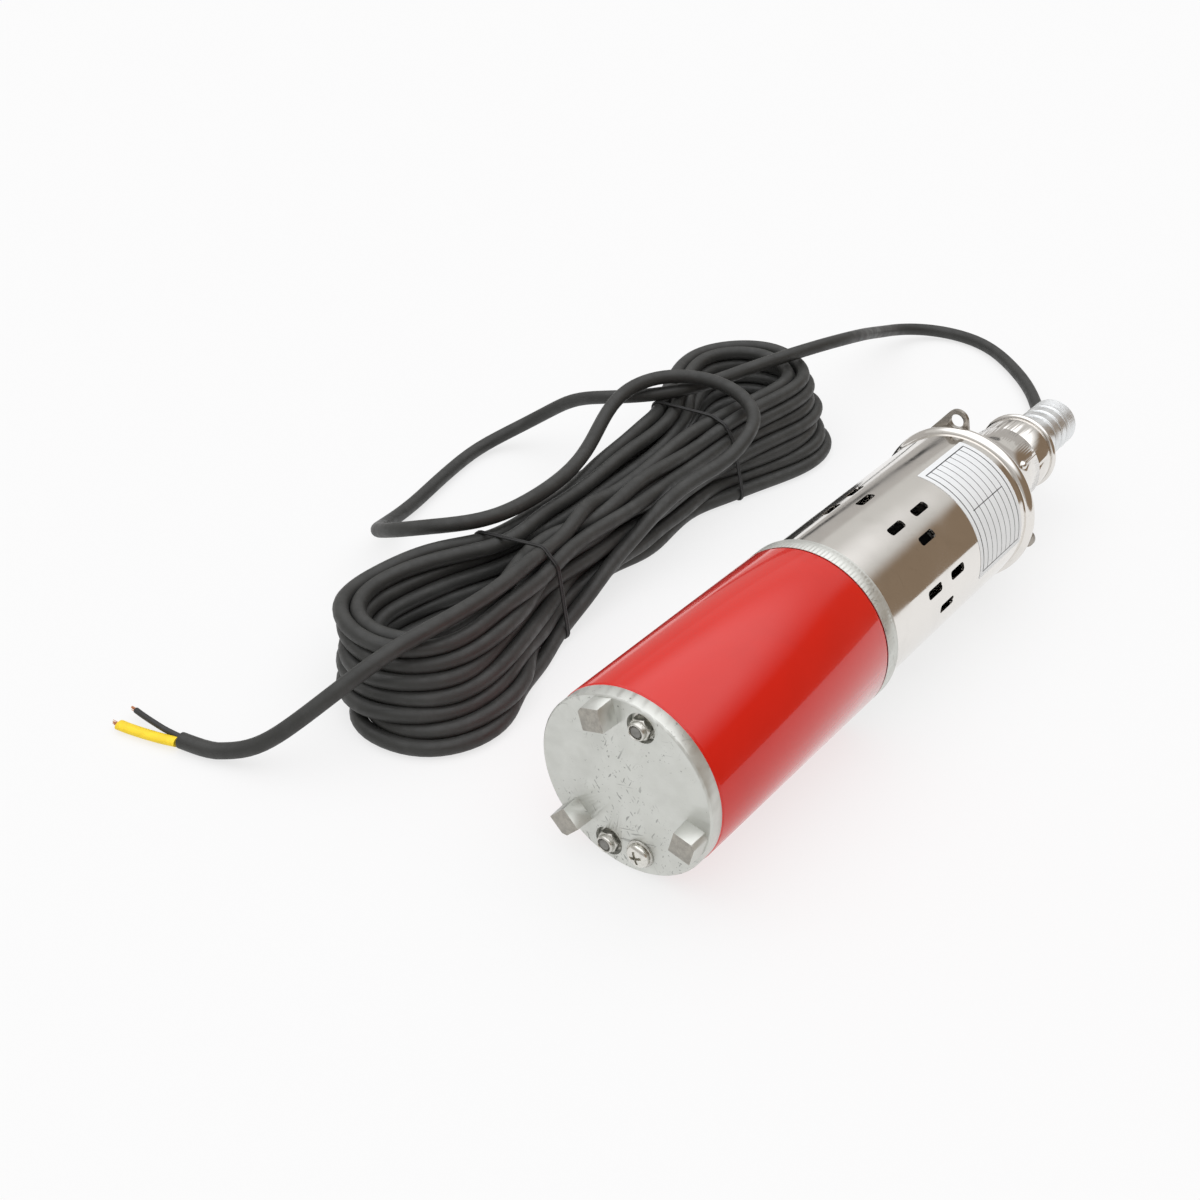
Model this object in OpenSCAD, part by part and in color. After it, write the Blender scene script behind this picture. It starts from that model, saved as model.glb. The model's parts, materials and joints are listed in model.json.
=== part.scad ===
// Borehole submersible pump: a small direct-current screw pump for a three-inch well.
// It lies on its side with its cable folded beside it. Millimetres, +Z up, pump axis along +Y,
// origin on the floor under the middle of the pump's length.

/* [Motor barrel] */
// Outer diameter of the painted barrel
barrel_d = 76; // [74:0.5:84]
// Length of the painted barrel
barrel_len = 116.8; // [110:0.2:150]
// Wall of the barrel
barrel_wall = 2.5; // [1.5:0.1:3]
// Radial clearance of pieces that slide into each other
fit_gap = 0.12; // [0.05:0.01:0.2]
// Radial clearance of pieces that are pressed or glued on
seat_gap = 0.03; // [0.01:0.01:0.06]
// Radial clearance of a shaft in its bearing or seal
run_gap = 0.05; // [0.02:0.01:0.1]

/* [Bottom cap] */
// Thickness of the cap's rim outside the barrel
cap_t = 6.2; // [5:0.1:10]
// Step from the barrel down to the cap's rim
cap_step = 0.3; // [0.1:0.1:1]
// Bevel round the cap's front edge
cap_bevel = 0.6; // [0.2:0.1:1.5]
// Length of the spigots that reach into the barrel
spigot_len = 9; // [8:0.5:12]
// Side of a foot
foot_side = 10; // [7:0.5:12]
// Height of the feet
foot_h = 8; // [4:0.5:15]
// Distance of the feet's outer face from the rim
foot_inset = 1.2; // [0.8:0.1:3]
// Angle of the first foot, from +X towards the top
foot_angle = -13; // [-30:1:0]
// Diameter of the O-rings' cord
oring_d = 2; // [1.5:0.1:2.4]

/* [Tie rods] */
// Diameter of the tie rods
rod_d = 5; // [4:0.5:6]
// Room between the tie rods and the armature
rod_clear = 1.5; // [0.8:0.1:2]
// Angle of the first tie rod
rod_angle = 77; // [70:1:84]
// Width across the flats of the nuts
nut_af = 8; // [7:0.5:10]
// Height of the nuts
nut_h = 5.5; // [4:0.5:7]
// Height of the locking collar on the nuts
nut_collar_h = 2; // [1:0.1:3]
// Thickness of the washers under the nuts
rod_washer_t = 1; // [0.6:0.1:1.5]
// Depth of the pockets that hold the nuts
pocket_depth = 3.2; // [2:0.1:5]
// Diameter of the pockets that hold the nuts
pocket_d = 12; // [12:0.5:14]
// Length of rod past the nut, below zero where it ends in the nut's collar
rod_proud = -0.3; // [-1:0.1:3]
// How deep the rods screw into the top flange
rod_grip = 5; // [3:0.5:6]

/* [Oil filler screw] */
// Distance of the filler screw's middle from the cap's rim
fill_inset = 9.3; // [9:0.1:13]
// Angle of the filler screw
fill_angle = -74; // [-75:1:-55]
// Diameter of the screw's head
fill_head_d = 9.6; // [8:0.2:11]
// Height of the screw's head
fill_head_h = 3; // [2:0.1:4]
// Diameter of the screw's shank
fill_shank_d = 5; // [4:0.5:6]
// Diameter of the sealing washer
fill_washer_d = 11.4; // [11.2:0.1:12]
// Thickness of the sealing washer
fill_washer_t = 1; // [0.5:0.1:2]

/* [Motor] */
// Diameter of the motor shaft
shaft_d = 8; // [6:0.5:10]
// Outer diameter of the ball bearings
bearing_od = 22; // [18:1:24]
// Width of the ball bearings
bearing_w = 7; // [5:0.5:8]
// Thickness of the magnets
magnet_t = 8.9; // [8:0.1:10]
// Half of the gap between the magnets, as an angle
magnet_gap_angle = 12; // [9:1:20]
// Air gap between the armature and the magnets
air_gap = 0.6; // [0.4:0.1:1]
// Length of the armature core
armature_len = 50; // [40:1:52]
// Slots in the armature core
armature_slots = 12; // [8:1:16]
// Length of each end of the winding past the core
winding_end = 7.5; // [5:0.5:8]
// Diameter of the commutator
commutator_d = 22; // [18:0.5:24]
// Length of the commutator
commutator_len = 13; // [11:0.5:14]
// Width of a carbon brush round the commutator
brush_w = 6; // [4:0.5:8]
// Height of a carbon brush along the axis
brush_h = 5; // [4:0.5:7]
// Length of a carbon brush
brush_len = 9; // [7:0.5:10]
// Gap between a brush and the commutator
brush_gap = 0.3; // [0.2:0.05:0.4]
// Wall of the brush boxes
brush_wall = 1.6; // [1:0.1:2.5]

/* [Pump chamber] */
// Thickness of the flange's rim between barrel and sleeve
flange_t = 7.8; // [7:0.1:12]
// Length of the spigot that reaches into the sleeve
sleeve_spigot = 10; // [9:0.5:12]
// Outer diameter of the stainless sleeve
sleeve_d = 71.1; // [68:0.1:73]
// Length of the sleeve
sleeve_len = 122.2; // [118:0.2:135]
// Wall of the sleeve
sleeve_wall = 1; // [0.6:0.1:1.2]
// Length of an intake slot
slot_l = 11.4; // [8:0.1:14]
// Width of an intake slot
slot_w = 4; // [3:0.1:7]
// Corner radius of an intake slot
slot_corner = 1.4; // [0.5:0.1:1.4]
// Height of the slot pattern's middle above the flange
slot_height = 47.1; // [40:0.1:55]
// Spacing along the axis of the two slots in line
slot_pair = 19.7; // [17:0.1:24]
// Angle from the two slots in line to the single one
slot_step = 18; // [14:0.5:24]
// Groups of three slots
slot_groups = 7; // [3:1:7]
// Angle of the first group's single slot
slot_angle = 50.3; // [40:0.1:60]

/* [Screw and stator] */
// Diameter of the screw's round section
screw_d = 14; // [11:0.5:15]
// Eccentricity of the screw
screw_e = 2.5; // [1.5:0.1:3]
// Pitch of the screw
screw_pitch = 24; // [20:1:32]
// Gap between the screw and the rubber
screw_gap = 0.4; // [0.3:0.05:0.6]
// How far the screw reaches past each end of the stator
screw_over = 3; // [2:0.5:4]
// Length of the stator
stator_len = 50; // [44:1:54]
// Diameter of the stator's rubber
stator_d = 38; // [36:0.5:39]
// Wall of the stator's steel tube
stator_wall = 1.5; // [1:0.1:2]
// Diameter of the coupling hub and of the screw's head
hub_d = 16; // [14:0.5:18]
// Length of shaft that the hub holds
hub_grip = 8; // [6:0.5:9]
// Room between the flange and the hub
hub_clear = 1.3; // [1:0.1:3]
// Diameter of the connecting rod
link_d = 6; // [4:0.5:7]
// Diameter of the balls on the connecting rod
ball_d = 9; // [8:0.5:10]
// Clearance of the balls in their cups
ball_gap = 0.3; // [0.2:0.05:0.4]

/* [Head and outlet] */
// Wall of the head
head_wall = 1.5; // [1:0.1:1.8]
// Length of the head's spigot inside the sleeve
head_spigot = 10; // [6:0.5:12]
// Radius of the rolled bead's section
bead_r = 3.5; // [3:0.1:3.5]
// How far the bead stands out from the sleeve
bead_proud = 2.3; // [1.5:0.1:2.8]
// Height of the flare from the bead to the collar
flare_h = 28.7; // [28:0.1:36]
// Diameter of the collar
collar_d = 38.6; // [38:0.2:44]
// Height of the collar
collar_h = 12.5; // [7:0.5:14]
// Diameter of the neck
neck_d = 36; // [34:0.2:38]
// Height of the neck below its lip
neck_h = 16; // [14:0.5:26]
// Diameter of the neck's lip
lip_d = 39; // [38.5:0.5:42]
// Thickness of the neck's lip
lip_t = 3; // [2:0.1:4]
// Diameter of the hose barb's shank
barb_d = 23.6; // [20:0.2:25]
// Height of the barbs' edges over the shank
barb_edge = 0.5; // [0.4:0.1:1.5]
// Bore of the hose barb
barb_bore = 18; // [14:0.5:19]
// Length of the smooth shank
barb_shank = 16.5; // [10:0.5:20]
// Spacing of the barbs
barb_pitch = 6.5; // [5:0.5:9]
// Length of the plain end
barb_end = 4.5; // [4:0.5:12]
// Number of barbs
barb_count = 3; // [2:1:5]

/* [Rope eye] */
// Thickness of the eye plate
eye_t = 1.8; // [1.2:0.1:3]
// Hole in the eye
eye_hole = 6.6; // [5:0.1:7]
// Width of metal round the hole
eye_rim = 2.1; // [2:0.1:4]
// Distance of the hole outside the bead
eye_out = 1.5; // [0.5:0.1:4]
// Angle of the eye
eye_angle = 100.5; // [85:0.5:115]
// Radius of the locating tab
tab_r = 4.2; // [3:0.1:4.2]
// Angle of the locating tab
tab_angle = -14; // [-30:1:0]

/* [Cable] */
// Diameter of the cable
cable_d = 7; // [6:0.1:7.4]
// Angle of the cable's gland
gland_angle = -125.5; // [-130:0.5:-120]
// Room between the cable and the head's wall
lead_clear = 2.3; // [2:0.1:2.6]
// Wall of the rubber round the cable in its gland
relief_wall = 1.35; // [1:0.05:1.4]
// Wall of the gland's ferrule
ferrule_wall = 1.4; // [1:0.1:1.5]
// Length of the tapered strain relief
relief_len = 28; // [20:1:40]
// Wall of the strain relief at its thin end
relief_tip = 0.7; // [0.4:0.1:1]
// Width of the hank between its ends
hank_w = 74; // [50:1:80]
// Height of the hank
hank_h = 36; // [28:1:42]
// Radius of the hank's round ends
hank_end_r = 39; // [34:1:45]
// Thickness of the ties
tie_d = 1.6; // [1:0.1:3]
// Diameter of a bare-ended core
core_d = 2.6; // [2:0.1:3]

/* [Hidden] */
$fn = 64;
eps = 0.01;

// Radii about the pump's axis
barrel_r = barrel_d / 2;
cap_r = barrel_r - cap_step;
barrel_ir = barrel_r - barrel_wall;
spigot_r = barrel_ir - fit_gap;
groove_depth = oring_d - fit_gap + 2 * seat_gap;
armature_r = barrel_ir - seat_gap - magnet_t - air_gap;
rod_r = armature_r + rod_clear + rod_d / 2;
shaft_r = shaft_d / 2;
fill_r = cap_r - fill_inset;
sleeve_r = sleeve_d / 2;
sleeve_ir = sleeve_r - sleeve_wall;
head_or = sleeve_ir - fit_gap;
head_ir = head_or - head_wall;
bead_c = sleeve_r + bead_proud - bead_r;
lead_r = head_ir - lead_clear - cable_d / 2;
relief_r = cable_d / 2 + relief_wall;
ferrule_r = relief_r + seat_gap + ferrule_wall;
shoulder_r = lead_r + cable_d / 2 + 0.6 + head_wall;
collar_r = collar_d / 2;
neck_skirt_r = collar_r - head_wall - fit_gap;
neck_bore_r = barb_d / 2 - 0.75;
tube_r = stator_d / 2 + seat_gap + stator_wall;
adaptor_r = tube_r + seat_gap + stator_wall;
duct_r = neck_bore_r + 3;

// Stations along the axis from the bottom cap's front face
barrel_s = cap_t;
flange_s = barrel_s + barrel_len;
sleeve_s = flange_s + flange_t;
flange_top = sleeve_s + sleeve_spigot;
flange_low = flange_s - spigot_len;
cap_top = cap_t + spigot_len;
bead_s = sleeve_s + sleeve_len + bead_r;
eye_s = bead_s + bead_r;
flare_s = eye_s + eye_t + 0.5;
collar_s = flare_s + flare_h;
neck_s = collar_s + collar_h;
lip_s = neck_s + neck_h;
barb_s = lip_s + lip_t;
barb_tip = barb_s + barb_shank + barb_count * barb_pitch + barb_end;
axis_z = max(barrel_r, bead_c + bead_r);
start_y = -(barb_tip - foot_h) / 2;

// Motor stations
nut_s = pocket_depth - rod_washer_t - nut_h;
rod_s = nut_s - rod_proud;
bearing_low = cap_top - bearing_w;
bearing_high = flange_low;
brush_plate_t = 3.5;
brush_plate_s = flange_low - brush_plate_t;
brush_s = brush_plate_s - brush_wall - brush_h;
commutator_s = brush_plate_s - commutator_len;
winding_top = commutator_s - 3;
core_s = winding_top - winding_end - armature_len;
seal_s = flange_top - bearing_w;
hub_s = flange_top + hub_clear;
shaft_s = bearing_low + 0.5;
shaft_end = hub_s + hub_grip;

// Screw stations
screw_sides = 28;
cup_depth = ball_d + 2 * ball_gap;
ball_low = shaft_end + 1 + cup_depth / 2;
adaptor_s = sleeve_s + sleeve_len - head_spigot;
stator_s = adaptor_s + 8 - stator_len;
thread_s = stator_s - screw_over;
thread_len = stator_len + 2 * screw_over;
screw_head_len = cup_depth + 5;
ball_high = thread_s - screw_head_len + cup_depth / 2;
duct_s = adaptor_s + 12;

// Cable stations
ferrule_s = flare_s + 0.2;
ferrule_top = collar_s + 1;
relief_top = ferrule_top + relief_len;
lead_low = flange_s + 2;
grommet_r = cable_d / 2 + 2;
grommet_seat = 4;

// Points that the cable passes after it leaves the strain relief, then the points of its tail
cable_exit = [lead_r * cos(gland_angle), start_y + relief_top, axis_z + lead_r * sin(gland_angle)];
lead_route = [
    cable_exit, cable_exit + [0, 22, 0],
    [-17, 195, 12], [-23, 225, 6], [-35, 255, 3.7], [-54, 283, 3.6], [-77, 306, 3.6], [-99, 321, 3.6],
    [-120, 325, 3.8], [-138, 317, 5.5], [-147, 299, 9.5], [-146, 276, 16.5], [-140, 247, 27],
    [-135, 216, 38], [-139, 184, 41.4], [-147, 155, 40.2], [-155, 130, 40.2], [-163, 105, 41],
    [-174, 82, 42.4], [-191, 67, 41.6], [-212, 63, 34], [-232, 62, 21], [-248, 54, 9.8], [-256, 36, 4.4],
    [-254, 13, 3.7], [-247, -12, 3.6], [-241, -36, 4.2], [-234, -58, 8], [-222, -76, 17],
    [-206, -89, 28.5], [-187, -94, 38], [-170, -87, 42.6], [-160, -70, 42.4], [-156.5, -49, 40.8],
    [-157, -28, 40.2], [-161, -6, 40.2], [-168, 16, 41.4], [-175, 38, 45.4], [-180, 61, 49.4],
    [-177, 84, 50.6], [-164, 99, 50], [-146, 104, 48.6], [-129, 99, 46], [-118, 85, 43.6],
    [-115, 66, 41.8], [-116, 46, 40.2]
];
tail_route = [
    [-124, -120, 40.2], [-125, -148, 40.2], [-128, -174, 40.4], [-134, -196, 35], [-143, -212, 21],
    [-154, -222, 8.5], [-168, -227, 4.2], [-185, -231, 3.6]
];
core_routes = [
    [[-185.5, -232.4, 3.6], [-195, -235, 2.6], [-204, -237, 1.8], [-213, -238.5, 1.6]],
    [[-186, -229.6, 3.6], [-196, -231, 2.4], [-207, -231, 1.6], [-218, -230, 1.6]]
];
hank_near = [-138, -140];
hank_far = [-147, 156];
tie_ys = [-77, 77];

// Places its children in the pump's frame: Z of the children runs along the pump from the cap's face
module along_pump() {
    translate([0, start_y, axis_z]) rotate([-90, 0, 0]) children();
}

// Turns its children to an angle seen from the cap's end and moves them out from the axis
module at_angle(angle, radius = 0) {
    rotate([0, 0, -angle]) translate([radius, 0, 0]) children();
}

// A ring between two radii and two stations
module ring(outer, inner, from, to) {
    difference() {
        translate([0, 0, from]) cylinder(r = outer, h = to - from);
        translate([0, 0, from - 1]) cylinder(r = inner, h = to - from + 2);
    }
}

// A cutter or a rod between two stations
module rod(radius, from, to) {
    translate([0, 0, from]) cylinder(r = radius, h = to - from);
}

// An O-ring round a spigot of the given radius
module o_ring(station, outer) {
    translate([0, 0, station])
        rotate_extrude() translate([outer - oring_d / 2, 0]) circle(d = oring_d, $fn = 24);
}

// The groove that an O-ring lies in
module o_ring_groove(station, outer) {
    ring(outer + 1, outer - groove_depth, station - oring_d / 2 - fit_gap, station + oring_d / 2 + fit_gap);
}

// Bottom cap

module foot() {
    translate([cap_r - foot_inset - foot_side, -foot_side / 2, -foot_h])
        linear_extrude(foot_h + eps)
            polygon([
                [0, 0], [foot_side * 0.82, 0], [foot_side, foot_side * 0.18], [foot_side, foot_side],
                [0, foot_side]
            ]);
}

module bottom_cap() {
    color("lightgray") along_pump() difference() {
        union() {
            translate([0, 0, cap_bevel]) cylinder(r = cap_r, h = cap_t - cap_bevel);
            cylinder(r1 = cap_r - cap_bevel, r2 = cap_r, h = cap_bevel);
            rod(spigot_r, cap_t - eps, cap_top);
            for (i = [0:2]) at_angle(foot_angle + 120 * i) foot();
        }
        o_ring_groove(cap_t + spigot_len / 2, spigot_r);
        rod(bearing_od / 2 + seat_gap, bearing_low, cap_top + 1);
        for (a = [rod_angle, rod_angle + 180]) at_angle(a, rod_r) {
            rod(rod_d / 2 + fit_gap, -1, cap_top + 1);
            rod(pocket_d / 2, -1, pocket_depth);
        }
        at_angle(fill_angle, fill_r) rod(fill_shank_d / 2 + seat_gap, -1, cap_top + 1);
    }
}

module oil_filler_screw() {
    rim_h = fill_head_h * 0.45;
    recess_l = fill_head_d * 0.48;
    recess_w = 1.1;
    recess_turn = 20;
    color("silver") along_pump() at_angle(fill_angle, fill_r) difference() {
        union() {
            translate([0, 0, -fill_washer_t - rim_h]) cylinder(d = fill_head_d, h = rim_h);
            translate([0, 0, -fill_washer_t - fill_head_h])
                cylinder(d1 = fill_head_d * 0.62, d2 = fill_head_d, h = fill_head_h - rim_h + eps);
            rod(fill_shank_d / 2, -fill_washer_t - eps, cap_t + spigot_len / 2);
        }
        for (a = [recess_turn, recess_turn + 90]) rotate([0, 0, a])
            translate([-recess_l / 2, -recess_w / 2, -fill_washer_t - fill_head_h - 1])
                cube([recess_l, recess_w, fill_head_h / 2 + 1]);
    }
}

module oil_screw_washer() {
    color("dimgray") along_pump() at_angle(fill_angle, fill_r)
        ring(fill_washer_d / 2, fill_shank_d / 2 + seat_gap, -fill_washer_t, 0);
}

module tie_rods() {
    point = 0.5;
    color("silver") along_pump() for (a = [rod_angle, rod_angle + 180]) at_angle(a, rod_r) {
        rod(rod_d / 2, rod_s + point, flange_s + rod_grip);
        translate([0, 0, rod_s]) cylinder(d1 = rod_d - 2 * point, d2 = rod_d, h = point + eps);
    }
}

module tie_rod_nuts() {
    hex_h = nut_h - nut_collar_h;
    collar_end_r = rod_d / 2 + 0.7;
    color("silver") along_pump() for (a = [rod_angle, rod_angle + 180]) at_angle(a, rod_r)
        difference() {
            union() {
                translate([0, 0, nut_s + nut_collar_h]) intersection() {
                    cylinder(d = nut_af / cos(30), h = hex_h, $fn = 6);
                    cylinder(r1 = nut_af / 2, r2 = nut_af / 2 + hex_h * 1.7, h = hex_h);
                }
                translate([0, 0, nut_s])
                    cylinder(r1 = collar_end_r, r2 = collar_end_r + nut_collar_h / 4, h = nut_collar_h + eps);
            }
            rod(rod_d / 2 + seat_gap, nut_s - 1, pocket_depth + 1);
        }
}

module tie_rod_washers() {
    color("gray") along_pump() for (a = [rod_angle, rod_angle + 180]) at_angle(a, rod_r)
        ring(pocket_d / 2 - 0.6, rod_d / 2 + fit_gap, pocket_depth - rod_washer_t, pocket_depth);
}

// Motor

module motor_barrel() {
    color("red") along_pump() ring(barrel_r, barrel_ir, barrel_s, flange_s);
}

module top_flange() {
    color("lightgray") along_pump() difference() {
        union() {
            rod(spigot_r, flange_low, flange_s + eps);
            rod(barrel_r, flange_s, sleeve_s);
            rod(sleeve_ir - fit_gap, sleeve_s - eps, flange_top);
        }
        o_ring_groove(flange_s - spigot_len / 2, spigot_r);
        rod(bearing_od / 2 + seat_gap, flange_low - 1, bearing_high + bearing_w);
        rod(bearing_od / 2 + seat_gap, seal_s, flange_top + 1);
        rod(shaft_r + 0.5, flange_low, flange_top);
        for (a = [rod_angle, rod_angle + 180]) at_angle(a, rod_r)
            rod(rod_d / 2 + seat_gap, flange_low - 1, flange_s + rod_grip + 0.5);
        at_angle(gland_angle, lead_r) {
            rod(cable_d / 2 + fit_gap, lead_low - 0.5, flange_top + 1);
            rod(grommet_r, flange_top - grommet_seat, flange_top + 1);
        }
    }
}

module lead_grommet() {
    color("black") along_pump() at_angle(gland_angle, lead_r)
        ring(grommet_r - seat_gap, cable_d / 2 + seat_gap, flange_top - grommet_seat, flange_top + 1.5);
}

module barrel_o_rings() {
    color("black") along_pump() {
        o_ring(cap_t + spigot_len / 2, barrel_ir - seat_gap);
        o_ring(flange_s - spigot_len / 2, barrel_ir - seat_gap);
    }
}

module magnets() {
    color("darkslategray") along_pump() for (a = [rod_angle, rod_angle + 180])
        rotate([0, 0, -a + magnet_gap_angle]) translate([0, 0, core_s - 2])
            rotate_extrude(angle = 180 - 2 * magnet_gap_angle)
                translate([armature_r + air_gap, 0]) square([magnet_t, armature_len + 4]);
}

coil_from = armature_r * 0.58;
coil_w = 4;
coil_room = 0.2;
tooth_tip = 2;
slot_mouth = 1.6;

module armature_core() {
    color("gray") along_pump() difference() {
        ring(armature_r, shaft_r + seat_gap, core_s, core_s + armature_len);
        for (i = [0:armature_slots - 1]) rotate([0, 0, 360 * i / armature_slots]) {
            translate([coil_from, -coil_w / 2, core_s - 1])
                cube([armature_r - tooth_tip - coil_from, coil_w, armature_len + 2]);
            translate([armature_r - tooth_tip - 1, -slot_mouth / 2, core_s - 1])
                cube([tooth_tip + 2, slot_mouth, armature_len + 2]);
        }
    }
}

module armature_winding() {
    bar_l = armature_r - tooth_tip - coil_from - 2 * coil_room;
    bar_w = coil_w - 2 * coil_room;
    color("peru") along_pump() {
        for (s = [core_s - winding_end, core_s + armature_len])
            ring(armature_r * 0.9, shaft_r + 3, s, s + winding_end);
        for (i = [0:armature_slots - 1]) rotate([0, 0, 360 * i / armature_slots])
            translate([coil_from + coil_room, -bar_w / 2, core_s - eps])
                cube([bar_l, bar_w, armature_len + 2 * eps]);
    }
}

module commutator() {
    segment_gap = 0.6;
    color("chocolate") along_pump() difference() {
        ring(commutator_d / 2, shaft_r + seat_gap, commutator_s, commutator_s + commutator_len - 0.5);
        for (i = [0:armature_slots - 1]) rotate([0, 0, 360 * i / armature_slots])
            translate([commutator_d / 2 - 1, -segment_gap / 2, commutator_s - 1])
                cube([2, segment_gap, commutator_len + 2]);
    }
}

module motor_shaft() {
    color("silver") along_pump() rod(shaft_r, shaft_s, shaft_end);
}

brush_from = commutator_d / 2 + brush_gap;
spring_len = 5;
box_from = brush_from + 1;
box_to = brush_from + brush_len + spring_len + brush_wall;

module brush_holder() {
    color("saddlebrown") along_pump() difference() {
        union() {
            ring(barrel_ir - 1.5, commutator_d / 2 + 2, brush_plate_s, flange_low);
            for (a = [rod_angle - 90, rod_angle + 90]) at_angle(a)
                translate([box_from, -brush_w / 2 - brush_wall, brush_s - brush_wall])
                    cube([box_to - box_from, brush_w + 2 * brush_wall, brush_h + 2 * brush_wall + eps]);
        }
        for (a = [rod_angle - 90, rod_angle + 90]) at_angle(a)
            translate([box_from - 1, -brush_w / 2 - fit_gap, brush_s - fit_gap])
                cube([box_to - brush_wall - box_from + 1, brush_w + 2 * fit_gap, brush_h + 2 * fit_gap]);
        for (a = [rod_angle, rod_angle + 180]) at_angle(a, rod_r)
            rod(rod_d / 2 + 0.5, brush_plate_s - 1, flange_low + 1);
    }
}

module carbon_brushes() {
    color("dimgray") along_pump() for (a = [rod_angle - 90, rod_angle + 90]) at_angle(a) difference() {
        translate([commutator_d / 2 - 2, -brush_w / 2, brush_s])
            cube([brush_len + brush_gap + 2, brush_w, brush_h]);
        rod(brush_from, brush_s - 1, brush_s + brush_h + 1);
    }
}

module brush_springs() {
    wire = 0.8;
    turns = 4;
    steps = 10 * turns;
    coil_r = (brush_h - wire) / 2 - 0.2;
    rise = spring_len - wire - 0.2;
    coil = [for (i = [0:steps]) let (a = 360 * turns * i / steps)
        [coil_r * cos(a), coil_r * sin(a), rise * i / steps]];
    color("silver") along_pump() for (a = [rod_angle - 90, rod_angle + 90]) at_angle(a)
        translate([brush_from + brush_len + wire / 2 + 0.1, 0, brush_s + brush_h / 2])
            rotate([0, 90, 0]) tube(coil, wire / 2);
}

module lower_bearing() {
    color("silver") along_pump()
        ring(bearing_od / 2, shaft_r + run_gap, bearing_low, cap_top);
}

module upper_bearing() {
    color("silver") along_pump()
        ring(bearing_od / 2, shaft_r + run_gap, bearing_high, bearing_high + bearing_w);
}

module shaft_seal() {
    color("black") along_pump() difference() {
        ring(bearing_od / 2, shaft_r + run_gap, seal_s, flange_top);
        ring(bearing_od / 2 - 2, shaft_r + 1.5, flange_top - 2, flange_top + 1);
    }
}

// Screw pump

module coupling_hub() {
    color("silver") along_pump() difference() {
        rod(hub_d / 2, hub_s, ball_low + cup_depth / 2);
        rod(shaft_r + seat_gap, hub_s - 1, shaft_end);
        rod(ball_d / 2 + ball_gap, ball_low - cup_depth / 2, ball_low + cup_depth);
    }
}

module drive_rod() {
    link = ball_high - ball_low;
    color("silver") along_pump() translate([0, 0, ball_low]) rotate([0, atan2(screw_e, link), 0]) {
        cylinder(d = link_d, h = norm([screw_e, link]));
        for (z = [0, norm([screw_e, link])]) translate([0, 0, z]) sphere(d = ball_d);
    }
}

module screw_rotor() {
    turns = thread_len / screw_pitch;
    color("gainsboro") along_pump() translate([screw_e, 0, 0]) {
        difference() {
            rod(hub_d / 2, thread_s - screw_head_len, thread_s);
            rod(ball_d / 2 + ball_gap, thread_s - screw_head_len - 1, thread_s - screw_head_len + cup_depth);
        }
        translate([0, 0, thread_s - eps]) rotate([0, 0, -360 * screw_over / screw_pitch])
            linear_extrude(thread_len, twist = -360 * turns, slices = ceil(16 * turns))
                translate([screw_e, 0]) circle(d = screw_d, $fn = screw_sides);
    }
}

module stator_rubber() {
    turns = stator_len / (2 * screw_pitch);
    bore_r = screw_d / 2 + screw_gap;
    color("black") along_pump() difference() {
        rod(stator_d / 2, stator_s, stator_s + stator_len);
        translate([0, 0, stator_s])
            linear_extrude(stator_len, twist = -360 * turns, slices = ceil(32 * turns)) {
                for (x = [-2 * screw_e, 2 * screw_e]) translate([x, 0]) circle(bore_r, $fn = screw_sides);
                square([4 * screw_e, 2 * bore_r * cos(180 / screw_sides)], center = true);
            }
    }
}

module stator_tube() {
    color("silver") along_pump()
        ring(tube_r, stator_d / 2 + seat_gap, stator_s, stator_s + stator_len);
}

module discharge_adaptor() {
    top = neck_s - 2;
    bore = duct_r - stator_wall;
    cone_s = collar_s - 14;
    color("gray") along_pump() rotate_extrude() polygon([
        [tube_r + seat_gap, adaptor_s], [adaptor_r, adaptor_s], [adaptor_r, duct_s - 2],
        [duct_r - fit_gap, cone_s], [duct_r - fit_gap, top], [bore, top], [bore, cone_s],
        [tube_r - 2, duct_s - 3], [tube_r - 2, stator_s + stator_len],
        [tube_r + seat_gap, stator_s + stator_len]
    ]);
}

// Sleeve and head

module rounded_slot() {
    for (x = [-1, 1], y = [-1, 1])
        translate([x * (slot_l / 2 - slot_corner), y * (slot_w / 2 - slot_corner)])
            circle(slot_corner, $fn = 20);
    square([slot_l - 2 * slot_corner, slot_w], center = true);
    square([slot_l, slot_w - 2 * slot_corner], center = true);
}

module intake_slot(angle, station) {
    at_angle(angle) translate([sleeve_ir - 4, 0, station]) rotate([0, 90, 0])
        linear_extrude(sleeve_wall + 8) rounded_slot();
}

module pump_sleeve() {
    middle = sleeve_s + slot_height;
    color("silver") along_pump() difference() {
        ring(sleeve_r, sleeve_ir, sleeve_s, sleeve_s + sleeve_len);
        for (i = [0:slot_groups - 1]) {
            single = slot_angle + 360 / slot_groups * (1 - i);
            intake_slot(single, middle);
            for (s = [-1, 1]) intake_slot(single + slot_step, middle + s * slot_pair / 2);
        }
    }
}

function flare_r(t) = collar_r + (shoulder_r - collar_r) * pow(1 - t, 2);
flare_steps = 20;
flare_curve = [for (i = [0:flare_steps]) [flare_r(i / flare_steps), flare_s + flare_h * i / flare_steps]];

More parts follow.
